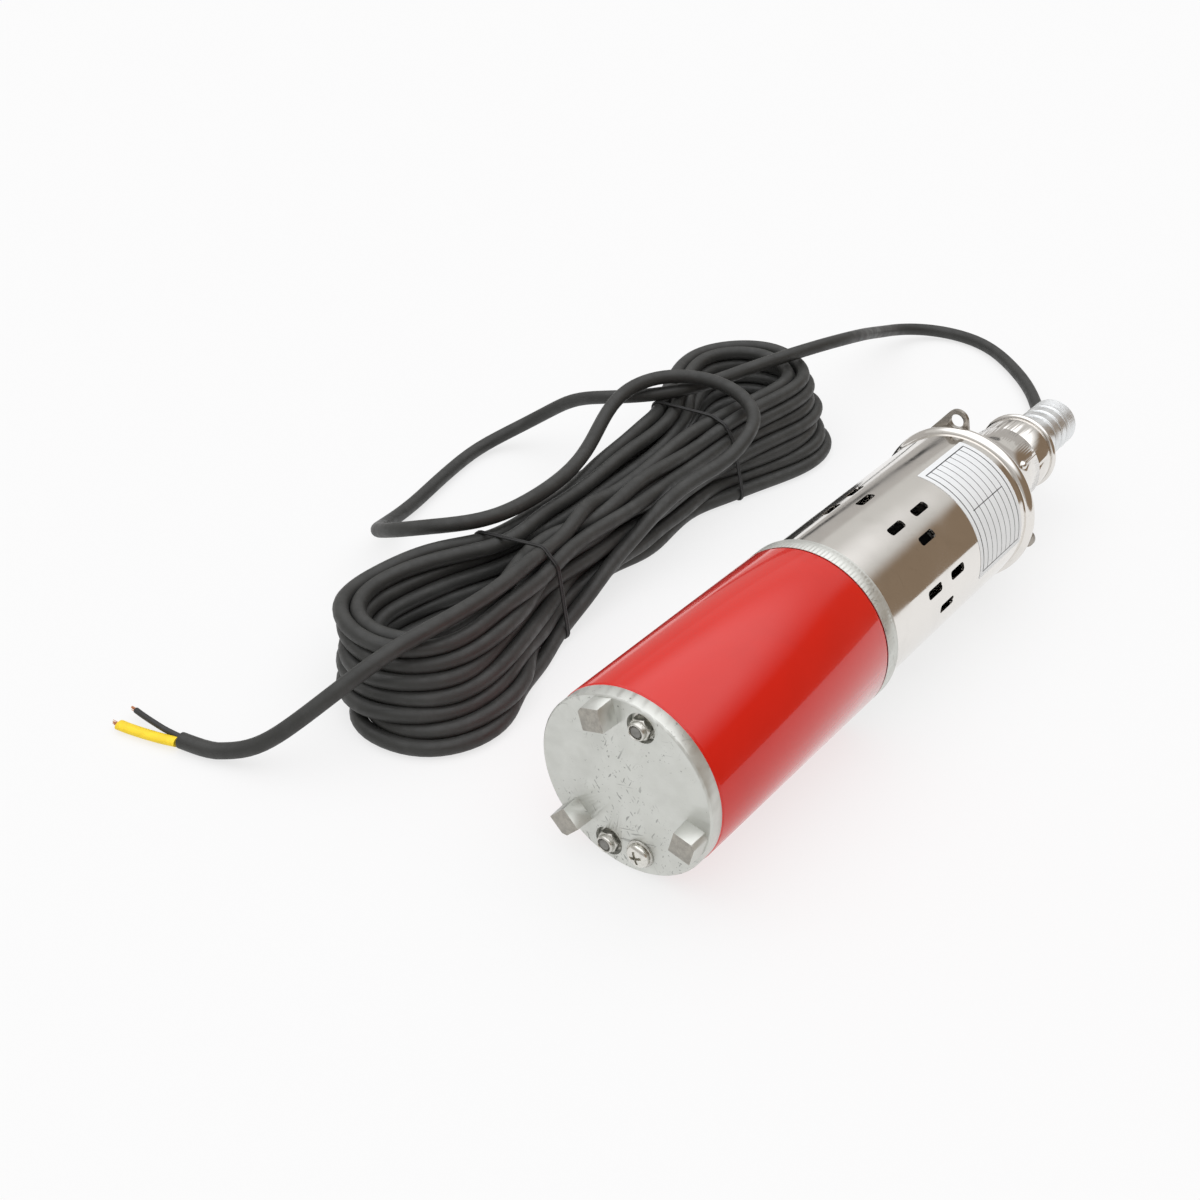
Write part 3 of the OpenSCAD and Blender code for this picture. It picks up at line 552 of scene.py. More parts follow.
def principled(name, metallic=0.0, **sockets):
    """A material with its shader: returns the material, its tree, its shader and the object coordinates."""
    material = bpy.data.materials.new(name)
    material.use_nodes = True
    tree = material.node_tree
    shader = tree.nodes["Principled BSDF"]
    shader.inputs["Metallic"].default_value = metallic
    for key, value in sockets.items():
        feed(tree, shader.inputs[key.replace("_", " ")], value)
    return material, tree, shader, object_place(tree)


def surface(tree, shader, base, rough, height, strength, depth):
    """Links a finish's colour, roughness and relief to its shader."""
    relief = put(tree, "ShaderNodeBump", Height=height, Strength=strength, Distance=depth)
    for socket, value in (("Base Color", base), ("Roughness", rough), ("Normal", relief.outputs["Normal"])):
        tree.links.new(value, shader.inputs[socket])


def gloss(tree, place, scale, least, most):
    """An uneven roughness between two values."""
    return ramp(tree, noise(tree, place, scale), 0.3, 0.7, least, most)


def darker(tint, share):
    return tuple(value * share for value in tint)


def made(name):
    return bpy.data.materials.get(name)


def cast_metal():
    """Bare cast aluminium, sanded on its face: pits, scratches and grey smudges."""
    name = "cast_aluminium_sanded"
    if made(name):
        return made(name)
    tint = colours().cast_metal
    material, tree, shader, place = principled(name, metallic=0.85)
    smudge = use_group(tree, stain_group(), place, Scale=48.0, Amount=0.7)
    fine_pits = use_group(tree, pit_group(), place, Scale=900.0, Amount=0.75)
    broad_pits = use_group(tree, pit_group(), place, Scale=330.0, Amount=0.7)
    pits = math_node(tree, "MAXIMUM", fine_pits, broad_pits)
    scratches = use_group(tree, scratch_group(), place, Scale=1.0, Amount=0.8)
    base = blend_colour(tree, smudge, tint, darker(tint, 0.91))
    base = blend_colour(tree, pits, base, darker(tint, 0.30))
    base = blend_colour(tree, scratches, base, darker(tint, 0.45))
    rough = math_node(tree, "ADD", gloss(tree, place, 160.0, 0.36, 0.52), times(tree, pits, 0.2))
    grain = times(tree, noise(tree, place, 900.0), 0.25)
    hollow = math_node(tree, "ADD", pits, times(tree, scratches, 0.4))
    surface(tree, shader, base, rough, math_node(tree, "SUBTRACT", grain, hollow), 0.35, 0.12 * MM)
    return material


def rough_cast():
    """The feet's sawn ends: beige grey, granular and unpolished."""
    name = "aluminium_sawn"
    if made(name):
        return made(name)
    tint = colours().sawn_metal
    material, tree, shader, place = principled(name, metallic=0.55)
    grain = noise(tree, place, 520.0, 6.0, 0.7)
    pits = use_group(tree, pit_group(), place, Scale=900.0, Amount=1.0)
    base = blend_colour(tree, ramp(tree, grain, 0.35, 0.65), darker(tint, 0.72), tint)
    base = blend_colour(tree, pits, base, darker(tint, 0.35))
    surface(tree, shader, base, ramp(tree, grain, 0.3, 0.7, 0.5, 0.68), grain, 0.5, 0.2 * MM)
    return material


def gloss_paint():
    """Gloss red enamel with a faint orange peel and a few dull specks."""
    name = "red_gloss_paint"
    if made(name):
        return made(name)
    tint = colours().paint
    material, tree, shader, place = principled(name, Coat_Weight=0.75, Coat_Roughness=0.03, Coat_IOR=1.45,
                                               Specular_IOR_Level=0.22)
    cloud = use_group(tree, stain_group(), place, Scale=24.0, Amount=0.5)
    specks = use_group(tree, pit_group(), place, Scale=420.0, Amount=0.12)
    base = blend_colour(tree, cloud, tint, darker(tint, 0.92))
    base = blend_colour(tree, specks, base, darker(tint, 0.6))
    peel = noise(tree, place, 420.0, 2.0)
    surface(tree, shader, base, gloss(tree, place, 60.0, 0.14, 0.24), peel, 0.04, 0.12 * MM)
    return material


def polished_stainless():
    """Mirror-polished stainless sheet, slightly wavy, with rubbed smudges and hairlines."""
    name = "stainless_polished"
    if made(name):
        return made(name)
    tint = colours().stainless
    material, tree, shader, place = principled(name, metallic=1.0)
    smudge = use_group(tree, stain_group(), place, Scale=34.0, Amount=0.6)
    hairlines = use_group(tree, scratch_group(), place, Scale=0.9, Amount=0.35)
    base = blend_colour(tree, smudge, tint, darker(tint, 0.90))
    base = blend_colour(tree, hairlines, base, darker(tint, 0.78))
    rough = ramp(tree, noise(tree, place, 45.0), 0.35, 0.7, 0.07, 0.15)
    rough = math_node(tree, "ADD", rough, times(tree, hairlines, 0.12))
    wavy = noise(tree, mapped(tree, place, scale=(1, 0.6, 1)), 50.0, 1.5)
    height = math_node(tree, "SUBTRACT", wavy, times(tree, hairlines, 0.05))
    surface(tree, shader, base, rough, height, 0.2, 0.5 * MM)
    return material


def plain_metal(name, tint, rough, scale=140.0, mark=0.5):
    """A metal finish with soft smudges, hairlines and uneven gloss."""
    if made(name):
        return made(name)
    material, tree, shader, place = principled(name, metallic=1.0)
    smudge = use_group(tree, stain_group(), place, Scale=scale, Amount=mark)
    hairlines = use_group(tree, scratch_group(), place, Scale=1.6, Amount=mark)
    base = blend_colour(tree, smudge, tint, darker(tint, 0.72))
    base = blend_colour(tree, hairlines, base, darker(tint, 0.6))
    uneven = gloss(tree, place, scale * 1.7, rough * 0.75, rough * 1.3)
    surface(tree, shader, base, uneven, noise(tree, place, scale * 9.0), 0.12, 0.06 * MM)
    return material


def dull_solid(name, tint, rough=0.6, grain=900.0, relief=0.25):
    """Rubber, plastic or carbon: a fine grain, a little dust and uneven gloss."""
    if made(name):
        return made(name)
    material, tree, shader, place = principled(name, Specular_IOR_Level=0.4)
    dust = use_group(tree, stain_group(), place, Scale=80.0, Amount=0.5)
    dusty = tuple(value * 1.35 + 0.006 for value in tint)
    base = blend_colour(tree, dust, tint, dusty)
    uneven = gloss(tree, place, 210.0, rough - 0.08, rough + 0.1)
    surface(tree, shader, base, uneven, noise(tree, place, grain, 3.0), relief, 0.08 * MM)
    return material


def cable_rubber():
    return dull_solid("cable_rubber", colours().jacket, 0.50, 2200.0, 0.08)


# Print on the plain sticker, in shares of its width round the sleeve and its length along it:
# half sizes of the frame's two edges, the rules as (place, half thickness), and the column's oblong
FRAME_OUTER, FRAME_INNER = (0.455, 0.44), (0.445, 0.425)
STICKER_RULES = ((0.83, 0.006), (0.72, 0.005), (0.61, 0.005), (0.50, 0.005), (0.39, 0.005), (0.28, 0.005),
                 (0.17, 0.006))
STICKER_COLUMN = (0.52, 0.0035, 0.49, 0.34)


def sticker_paper():
    """Satin white paper with a printed frame and plain rules that follow the sleeve's curve."""
    name = "plain_sticker"
    if made(name):
        return made(name)
    size = sizes()
    material, tree, shader, place = principled(name, Specular_IOR_Level=0.45)
    parts = put(tree, "ShaderNodeSeparateXYZ", Vector=place).outputs
    turn = math_node(tree, "ARCTAN2", math_node(tree, "SUBTRACT", parts["Z"], AXIS_Z), parts["X"])

    def share(value, start, whole):
        return math_node(tree, "DIVIDE", math_node(tree, "SUBTRACT", value, start), whole)

    def band(value, middle, half):
        away = math_node(tree, "ABSOLUTE", math_node(tree, "SUBTRACT", value, middle))
        return math_node(tree, "LESS_THAN", away, half)

    def oblong(across_middle, across_half, along_middle, along_half):
        return times(tree, band(across, across_middle, across_half), band(along, along_middle, along_half))

    across = share(turn, size.label_low, size.label_high - size.label_low)
    along = share(parts["Y"], SLEEVE_END - size.label_gap - size.label_length, size.label_length)
    whole, hole = (oblong(0.5, half[0], 0.5, half[1]) for half in (FRAME_OUTER, FRAME_INNER))
    print_mask = math_node(tree, "SUBTRACT", whole, hole)
    for rule, half in STICKER_RULES:
        print_mask = math_node(tree, "MAXIMUM", print_mask, oblong(0.5, FRAME_INNER[0], rule, half))
    print_mask = math_node(tree, "MAXIMUM", print_mask, oblong(*STICKER_COLUMN))
    smudge = use_group(tree, stain_group(), place, Scale=60.0, Amount=0.4)
    paper = blend_colour(tree, smudge, colours().paper, darker(colours().paper, 0.93))
    base = blend_colour(tree, print_mask, paper, colours().rule)
    grain = noise(tree, place, 500.0)
    surface(tree, shader, base, gloss(tree, place, 150.0, 0.34, 0.46), grain, 0.05, 0.1 * MM)
    return material


# Cable: the points that it passes, in millimetres

LEAD_ROUTE = [
    (-17, 195, 12), (-23, 225, 6), (-35, 255, 3.7), (-54, 283, 3.6), (-77, 306, 3.6), (-99, 321, 3.6),
    (-120, 325, 3.8), (-138, 317, 5.5), (-147, 299, 9.5), (-146, 276, 16.5), (-140, 247, 27),
    (-132, 213, 39), (-133, 180, 45.4), (-140, 151, 46.8), (-148, 126, 46), (-157, 102, 44.5),
    (-170, 80, 43.4), (-189, 66, 41.2), (-212, 63, 34), (-231.5, 62, 21), (-247, 53, 9.8), (-254.5, 35, 4.6),
    (-252.5, 12, 3.7), (-247, -13, 3.6), (-241, -36, 4.2), (-234, -58, 8), (-222, -76, 17),
    (-206, -90.5, 28.5), (-188, -94.8, 37.4), (-171.5, -90, 43), (-159, -78, 44.2), (-153, -59, 44),
    (-153, -32, 43.4), (-157, -8, 43.4), (-163.5, 13, 44.8), (-171, 33, 47.4), (-176, 54, 50.4),
    (-173, 76, 52), (-159, 91, 51.8), (-141, 96, 50), (-124, 91, 47.6), (-112, 78, 45),
    (-108, 60, 42.6), (-109.5, 42, 40.6),
]
TAIL_ROUTE = [
    (-130, -32, 40.6), (-124, -62, 42), (-117.5, -92, 43.4), (-114, -120, 44.6), (-114.5, -148, 45.4),
    (-120, -172, 42.0), (-129, -194, 31.5), (-141, -210.5, 18), (-154, -221, 7.8), (-168, -227.5, 4.0),
    (-185, -231, 3.6),
]
MARKED_CORE = [
    (-185.0, -232.2, 3.6), (-192, -234.2, 3.0), (-200, -236, 2.4), (-208, -237.6, 2.1), (-214, -238.5, 2.0),
]
PLAIN_CORE = [
    (-185.0, -229.7, 3.8), (-193, -230.6, 4.2), (-201, -230.6, 4.4), (-209, -230, 4.2), (-214, -229.4, 4.0),
]
# The way down through the hank to its lowest layer: y, distance from the hank's middle, height
DESCENT = [
    (14, 27.0, 36.0), (-14, 24.5, 28.0), (-42, 23.0, 19.5), (-72, 23.0, 11.5), (-100, 27.0, 5.8),
    (-126, 34.5, 4.0),
]
EXIT_RUN = 22
CURVE_STEPS = 5

# The hank: the middles of its folds, its ties, its rings of turns and the points along each turn
HANK_NEAR = Vector((-131, -147, 0))
HANK_FAR = Vector((-148.5, 141, 0))
HANK_ALONG = (HANK_FAR - HANK_NEAR).normalized()
HANK_ACROSS = Vector((HANK_ALONG.y, -HANK_ALONG.x, 0))
TIE_PLACES = (-77, 77)
TIE_PINCH, TIE_REACH = 0.05, 28
RINGS = 2
FOLD_POINTS = 20
RUN_POINTS = 26
FOLD_SHARE = 0.30
HANK_SEED = 11

# How loosely the hank is wound: room at its near and far folds, how its rings nest, how its layers lean,
# and how its runs wave sideways and up
NEAR_ROOM, FAR_ROOM = 3.6, 3.3
NEAR_NEST, FAR_NEST = 0.6, 0.8
LAYER_LEAN = -2.6
SIDE_WAVES, RISE_WAVES = 7, 9

# How the strands settle: their points' spacing, the passes, the sinking and the longest push of a pass,
# the points before and after the hank that settle with it, and the tightest bend, taken over a span of points
STRAND_GAP = 3.6
SETTLE_PASSES = 60
SINK, LONGEST_PUSH = 0.06, 1.2
SETTLED_BEFORE, SETTLED_AFTER = 60, 26
TIGHTEST_BEND, BEND_SPAN = 23.0, 3
# The last smoothing, and the points at the cable's two ends that keep their place in it
SMOOTH_PASSES = 140
FIXED_START, FIXED_END = 12, 6


def ease(value):
    value = min(max(value, 0.0), 1.0)
    return value * value * (3 - 2 * value)


def through(points):
    """A smooth curve through the points."""
    points = [Vector(point) for point in points]
    path = []
    for index in range(len(points) - 1):
        a, b = points[max(index - 1, 0)], points[index]
        c, d = points[index + 1], points[min(index + 2, len(points) - 1)]
        for step in range(CURVE_STEPS):
            t = step / CURVE_STEPS
            path.append(0.5 * (2 * b + (c - a) * t + (2 * a - 5 * b + 4 * c - d) * t ** 2
                               + (3 * b - a - 3 * c + d) * t ** 3))
    return path + [points[-1]]


def hank_middle(y):
    share = (y - HANK_NEAR.y) / (HANK_FAR.y - HANK_NEAR.y)
    return HANK_NEAR.lerp(HANK_FAR, share)


class Turn:
    """One turn of the hank, in millimetres: its ring and layer, and the unevenness of a hand-wound one."""

    def __init__(self, ring, layer, draw_random):
        size = cable()
        diameter = size.diameter / MM
        outward = RINGS - 1 - ring
        tight = size.fold_r / MM
        self.fold = tight + NEAR_ROOM + outward * (diameter - NEAR_NEST) + draw_random.uniform(-0.8, 1.4)
        self.fold_far = tight + FAR_ROOM + outward * (diameter - FAR_NEST) + draw_random.uniform(-0.8, 1.2)
        self.run = size.run_gap / MM + outward * size.run_step / MM
        self.height = diameter / 2 + 0.1 + layer * size.layer_rise / MM
        loose = 0.4 + 0.1 * layer
        self.shift = draw_random.uniform(-3.0, 3.0) * loose
        self.pull_near = 1.9 * layer + draw_random.uniform(-1.0, 4.0)
        self.pull_far = 7.0 - 0.8 * layer + draw_random.uniform(-2.0, 4.0)
        self.lean = LAYER_LEAN * (layer - (size.layers - 1) / 2)
        self.rise_far = 0.5 * layer
        self.wave = draw_random.uniform(1.0, 3.6) * loose
        self.phase = draw_random.uniform(0.0, math.tau)
        self.lift = draw_random.uniform(0.3, 2.2)

    def mixed(self, other, share):
        """A turn part way between this one and the next."""
        blend = Turn.__new__(Turn)
        for key, value in vars(self).items():
            setattr(blend, key, value + (getattr(other, key) - value) * share)
        return blend


def run_point(turn, side, share):
    """A point on one of a turn's long runs: side -1 is the run away from the pump, share 0 the near end."""
    start, end = HANK_NEAR + HANK_ALONG * turn.pull_near, HANK_FAR - HANK_ALONG * turn.pull_far
    open_near, open_far = 1 - ease(share / FOLD_SHARE), 1 - ease((1 - share) / FOLD_SHARE)
    half = turn.run + (turn.fold - turn.run) * open_near + (turn.fold_far - turn.run) * open_far
    middle = start.lerp(end, share)
    for place in TIE_PLACES:
        half *= 1 - TIE_PINCH * math.exp(-((middle.y - place) / TIE_REACH) ** 2)
    still = 1 - max(open_near, open_far)
    drift = (turn.shift + turn.wave * math.sin(turn.phase + side + SIDE_WAVES * share)) * still
    drift += turn.lean * open_near + turn.lean * open_far
    point = middle + HANK_ACROSS * side * half + HANK_ACROSS * drift
    lift = turn.lift * math.sin(turn.phase + RISE_WAVES * share) * still
    point.z = turn.height + lift + turn.rise_far * open_far
    return point


def fold_point(turn, far, share):
    """A point on a turn's fold at the near or the far end, in the order that the cable is wound."""
    forward, aside = HANK_ALONG * math.sin(math.pi * share), HANK_ACROSS * math.cos(math.pi * share)
    if far:
        centre = HANK_FAR - HANK_ALONG * turn.pull_far + HANK_ACROSS * turn.lean
        point = centre + (forward - aside) * turn.fold_far
    else:
        centre = HANK_NEAR + HANK_ALONG * turn.pull_near + HANK_ACROSS * turn.lean
        point = centre + (aside - forward) * turn.fold
    point.z = turn.height + (turn.rise_far if far else 0.0)
    return point


def hank_path():
    """The hank's turns, from its bottom layer to its top one."""
    draw_random = random.Random(HANK_SEED)
    turns = []
    for layer in range(cable().layers):
        order = range(RINGS) if layer % 2 == 0 else reversed(range(RINGS))
        turns += [Turn(ring, layer, draw_random) for ring in order]
    path = []
    for index, turn in enumerate(turns):
        last = index == len(turns) - 1
        following = turn if last else turns[index + 1]
        path += [fold_point(turn, False, step / FOLD_POINTS) for step in range(FOLD_POINTS)]
        path += [run_point(turn, -1, step / RUN_POINTS) for step in range(RUN_POINTS)]
        path += [fold_point(turn, True, step / FOLD_POINTS) for step in range(FOLD_POINTS)]
        stop = RUN_POINTS // 2 if last else RUN_POINTS
        for step in range(stop):
            share = step / RUN_POINTS
            path.append(run_point(turn.mixed(following, ease(share)), 1, 1 - share))
    return path


def even(points, gap):
    """The same line with points at an even spacing."""
    path, left = [points[0].copy()], gap
    for here, there in zip(points, points[1:]):
        reach = (there - here).length
        while left <= reach:
            path.append(here.lerp(there, left / reach))
            left += gap
        left -= reach
    return path


def relax(path, first, last, passes):
    """Takes small kinks out of the line without drawing its bends in."""
    for weight in (0.5, -0.51) * passes:
        path[first:last] = [path[index].lerp((path[index - 1] + path[index + 1]) / 2, weight)
                            for index in range(first, last)]
    return path


def unbend(path, first, last):
    """Opens the bends that are tighter than the cable takes."""
    for index in range(first, last):
        before, after = path[index - BEND_SPAN], path[index + BEND_SPAN]
        middle = (before + after) / 2
        sag, allowed = (path[index] - middle).length, (after - before).length_squared / (8 * TIGHTEST_BEND)
        if sag > allowed:
            path[index] = path[index].lerp(middle, 0.5 * (1 - allowed / sag))


def settle(path, first, last):
    """Eases the hank's strands apart and down until they rest on one another, from one point to another."""
    diameter = cable().diameter / MM
    own = int(3 * diameter / STRAND_GAP)
    for _ in range(SETTLE_PASSES):
        tree = KDTree(len(path))
        for index, point in enumerate(path):
            tree.insert(point, index)
        tree.balance()
        moves = {}
        for index in range(first, last):
            push = Vector((0, 0, -SINK))
            for place, other, gap in tree.find_range(path[index], diameter):
                if abs(index - other) > own and gap > 0.01:
                    share = 0.3 if first <= other < last else 0.6
                    push += (path[index] - place) * (share * (diameter - gap) / gap)
            if push.length > LONGEST_PUSH:
                push *= LONGEST_PUSH / push.length
            moves[index] = push
        for index, push in moves.items():
            path[index] = path[index] + push
        relax(path, first, last, 2)
        unbend(path, first, last)
        for index in range(first, last):
            path[index].z = max(path[index].z, diameter / 2)
    return path


def cable_path():
    """The cable from the strain relief to its cut end, in millimetres, and where its hank starts and ends."""
    exit_point = cable_exit() / MM
    lead = [exit_point, exit_point + Vector((0, EXIT_RUN, 0))] + [Vector(point) for point in LEAD_ROUTE]
    descent = [hank_middle(y) + Vector((offset, 0, z)) for y, offset, z in DESCENT]
    turns = hank_path()
    before = even(through(lead + descent + turns[:2])[:-CURVE_STEPS], STRAND_GAP)
    hank = even(turns[1:-1], STRAND_GAP)
    after = even(through([turns[-2], turns[-1]] + TAIL_ROUTE)[CURVE_STEPS:], STRAND_GAP)
    first, last = len(before) - SETTLED_BEFORE, len(before) + len(hank) + SETTLED_AFTER
    path = settle(before + hank + after, first, last)
    path = relax(path, FIXED_START, len(path) - FIXED_END, SMOOTH_PASSES)
    floor_rise = cable().diameter / MM / 2
    for point in path:
        point.z = max(point.z, floor_rise)
    return path, first, last


def cable_exit():
    middle = node_middle("strain_relief")
    return Vector((middle.x, high("strain_relief").y, middle.z))


class PUMP_OT_cable(bpy.types.Operator):
    """Lays the cable from its gland to the hank and on to its bare end, and ties the hank"""

    bl_idname = "pump.cable"
    bl_label = "Cable and hank"

    def execute(self, context):
        size = cable()
        route, first, last = cable_path()
        path = [point * MM for point in route]
        jacket = wire("cable", path, size.diameter, sides=6)
        dress(jacket, cable_rubber(), "cable_jacket", "cable_lead", "cable_hank", "cable_tail")
        ends = self.bare_cores(size)
        ties = self.hank_ties(size, route[first:last])
        return {"FINISHED"}

    def bare_cores(self, size):
        """The two cores past the jacket's end, one in a flat sleeve, with copper strands at both tips."""
        marked, plain = ([point * MM for point in through(route)] for route in (MARKED_CORE, PLAIN_CORE))
        width, flatness, rest = 2.1, 0.62, 2.2 * MM
        sleeve = to_mesh(wire("marked_core", marked, size.core_d * width, sides=5))
        pivot = Matrix.Translation((0, 0, rest))
        sleeve.data.transform(pivot @ Matrix.Diagonal((1, 1, flatness, 1)) @ pivot.inverted())
        dress(sleeve, dull_solid("core_sleeve_yellow", colours().tape, 0.45, 700.0), "core_insulation")
        core = to_mesh(wire("plain_core", plain, size.core_d, sides=5))
        dress(core, dull_solid("core_black", colours().core, 0.5), "core_insulation", "core_wires")
        bundles = [self.strand_bundle(index, end, size) for index, end in enumerate((marked, plain))]
        strands = join("copper_strands", bundles[0] + bundles[1])
        dress(strands, plain_metal("copper_strand", colours().copper, 0.3, scale=400.0), "copper")
        return [sleeve, core, strands]

    def strand_bundle(self, index, path, size):
        """Two rings of seven strands past a core's tip, of uneven length and spread."""
        ring, inner, outer = 7, 0.13, 0.28
        draw_random = random.Random(HANK_SEED + index)
        tip = path[-1]
        heading = (tip - path[-3]).normalized()
        side = heading.cross(Vector((0, 0, 1))).normalized()
        up = side.cross(heading)
        bundle = []
        for number in range(2 * ring):
            turn, reach = math.tau * number / ring, size.core_d * (inner if number < ring else outer)
            offset = (side * math.cos(turn) + up * math.sin(turn)) * reach
            spread = 1.0 + draw_random.uniform(-0.5, 0.4)
            bare = heading * draw_random.uniform(2.4, 3.8) * MM
            points = [tip - heading * MM + offset, tip + offset, tip + bare + offset * spread]
            bundle.append(to_mesh(wire("strand", points, size.strand_d, sides=1)))
        return bundle

    def hank_ties(self, size, strands):
        """Each tie goes twice round the hank, drawn tight over its outer strands."""
        material = dull_solid("tie_black", colours().tie, 0.4)
        ties = []
        for number, place in enumerate(TIE_PLACES):
            outline = self.girth(strands, place, (size.diameter + size.tie_d) / 2 / MM, size.tie_d / MM / 2)
            rounds = []
            for lap in (-0.55, 0.55):
                loop = [Vector((x, place + lap, z)) * MM for x, z in outline]
                rounds.append(to_mesh(wire("lap", loop, size.tie_d, cyclic=True, sides=2)))
            tie = join("hank_tie_%d" % (number + 1), rounds)
            dress(tie, material, "tie_wire", *(["hank_ties"] if number == 0 else []))
            ties.append(tie)
        return ties

    def girth(self, strands, place, reach, floor_rise):
        """The shortest loop round the strands where they pass a tie's place."""
        steps, spacing = 24, 1.5
        edge = []
        for here, there in zip(strands, strands[1:]):
            if (here.y - place) * (there.y - place) < 0:
                cut = here.lerp(there, (place - here.y) / (there.y - here.y))
                for step in range(steps):
                    turn = math.tau * step / steps
                    edge.append(Vector((cut.x + reach * math.cos(turn), cut.z + reach * math.sin(turn))))
        corners = [edge[index] for index in convex_hull_2d(edge)]
        loop = [Vector((corner.x, 0, corner.y)) for corner in corners]
        return [(point.x, max(point.z, floor_rise)) for point in even(loop + loop[:1], spacing)[:-1]]


class PUMP_OT_motor_barrel(bpy.types.Operator):
    """Turns the red barrel with its rolled ends"""

    bl_idname = "pump.motor_barrel"
    bl_label = "Motor barrel"

    def execute(self, context):
        wall, seam, step = BARREL_R - 1.6 * MM, BARREL_R - 0.35 * MM, 0.5 * MM
        outline = [
            (wall, BARREL_START), (seam, BARREL_START), (seam, BARREL_START + step),
            (BARREL_R, BARREL_START + 2 * step), (BARREL_R, BARREL_END - 2 * step),
            (seam, BARREL_END - step), (seam, BARREL_END), (wall, BARREL_END),
        ]
        barrel = lathe("barrel", outline, closed=True, steps=180)
        soften(barrel, 0.15 * MM)
        dress(barrel, gloss_paint(), "red_paint", "motor_barrel")
        return {"FINISHED"}


ROD_R = 2.5 * MM


def rod_distance():
    """Distance of the tie rods from the pump's axis."""
    lo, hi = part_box("tie_rods")
    return (hi.z - lo.z) / 2 / math.sin(sizes().rod_angle) - ROD_R


def rod_places(y):
    """Points on the two tie rods, one opposite the other."""
    first = math.degrees(sizes().rod_angle)
    return [at_angle(turn, rod_distance(), y) for turn in (first, first + 180)]


class PUMP_OT_bottom_cap(bpy.types.Operator):
    """Casts the bottom cap with its feet and its nut pockets"""

    bl_idname = "pump.bottom_cap"
    bl_label = "Bottom cap"

    def execute(self, context):
        size = sizes()
        rim = high("bottom_cap").x
        spigot, spigot_end = rim - 2.2 * MM, BARREL_START + 8 * MM
        cap = lathe("cap", [
            (0, CAP_FACE), (rim - size.cap_bevel, CAP_FACE), (rim, CAP_FACE + size.cap_bevel),
            (rim, BARREL_START), (spigot, BARREL_START), (spigot, spigot_end), (0, spigot_end),
        ], steps=180)
        foot_h = CAP_FACE - low("bottom_cap").y
        for number in range(3):
            turn = math.degrees(size.foot_angle) + 120 * number
            combine(cap, self.foot(turn, rim, foot_h), "UNION")
        for place in rod_places(CAP_FACE + size.pocket_depth / 2 - MM):
            combine(cap, drum("pocket", place, size.pocket_r, size.pocket_depth + 2 * MM, 64))
        soften(cap, 0.45 * MM, segments=3)
        dress(cap, cast_metal(), "cast_aluminium", "bottom_cap")
        cap.data.materials.append(rough_cast())
        sawn = CAP_FACE - foot_h + 0.4 * MM
        for face in cap.data.polygons:
            face.material_index = int(face.center.y < sawn)
        return {"FINISHED"}

    def foot(self, turn, rim, foot_h):
        """A foot with one outer corner cut off and drafted sides: its end is smaller than its root."""
        size = sizes()
        cut, draft = 0.18, 0.93
        out = Vector((math.cos(math.radians(turn)), 0, math.sin(math.radians(turn))))
        across = Vector((-out.z, 0, out.x))
        side, far = size.foot_side, rim - size.foot_inset
        near = far - side
        corners = [(near, -0.5), (far, -0.5), (far, 0.5 - cut), (far - cut * side, 0.5), (near, 0.5)]
        root = Vector((0, CAP_FACE + MM, AXIS_Z))
        points = [root + out * reach + across * side * share for reach, share in corners]
        foot = plate("foot", points, -foot_h - MM)
        bpy.ops.object.mode_set(mode="EDIT")
        mesh = bmesh.from_edit_mesh(foot.data)
        for vert in mesh.verts:
            vert.select = vert.co.y < CAP_FACE - foot_h / 2
        mesh.select_flush_mode()
        bmesh.update_edit_mesh(foot.data)
        end = at_angle(turn, far - side / 2, CAP_FACE - foot_h)
        bpy.ops.transform.resize(value=(draft, 1, draft), center_override=end)
        bpy.ops.object.mode_set(mode="OBJECT")
        return foot


# The nuts' crimped collar from its outside to its bore, in millimetres: radius and depth from its end
NUT_CRIMP = ((3.62, 0.9), (3.45, 0.4), (3.15, 0.1), (2.9, 0.0), (2.75, 0.2), (2.62, 1.0))


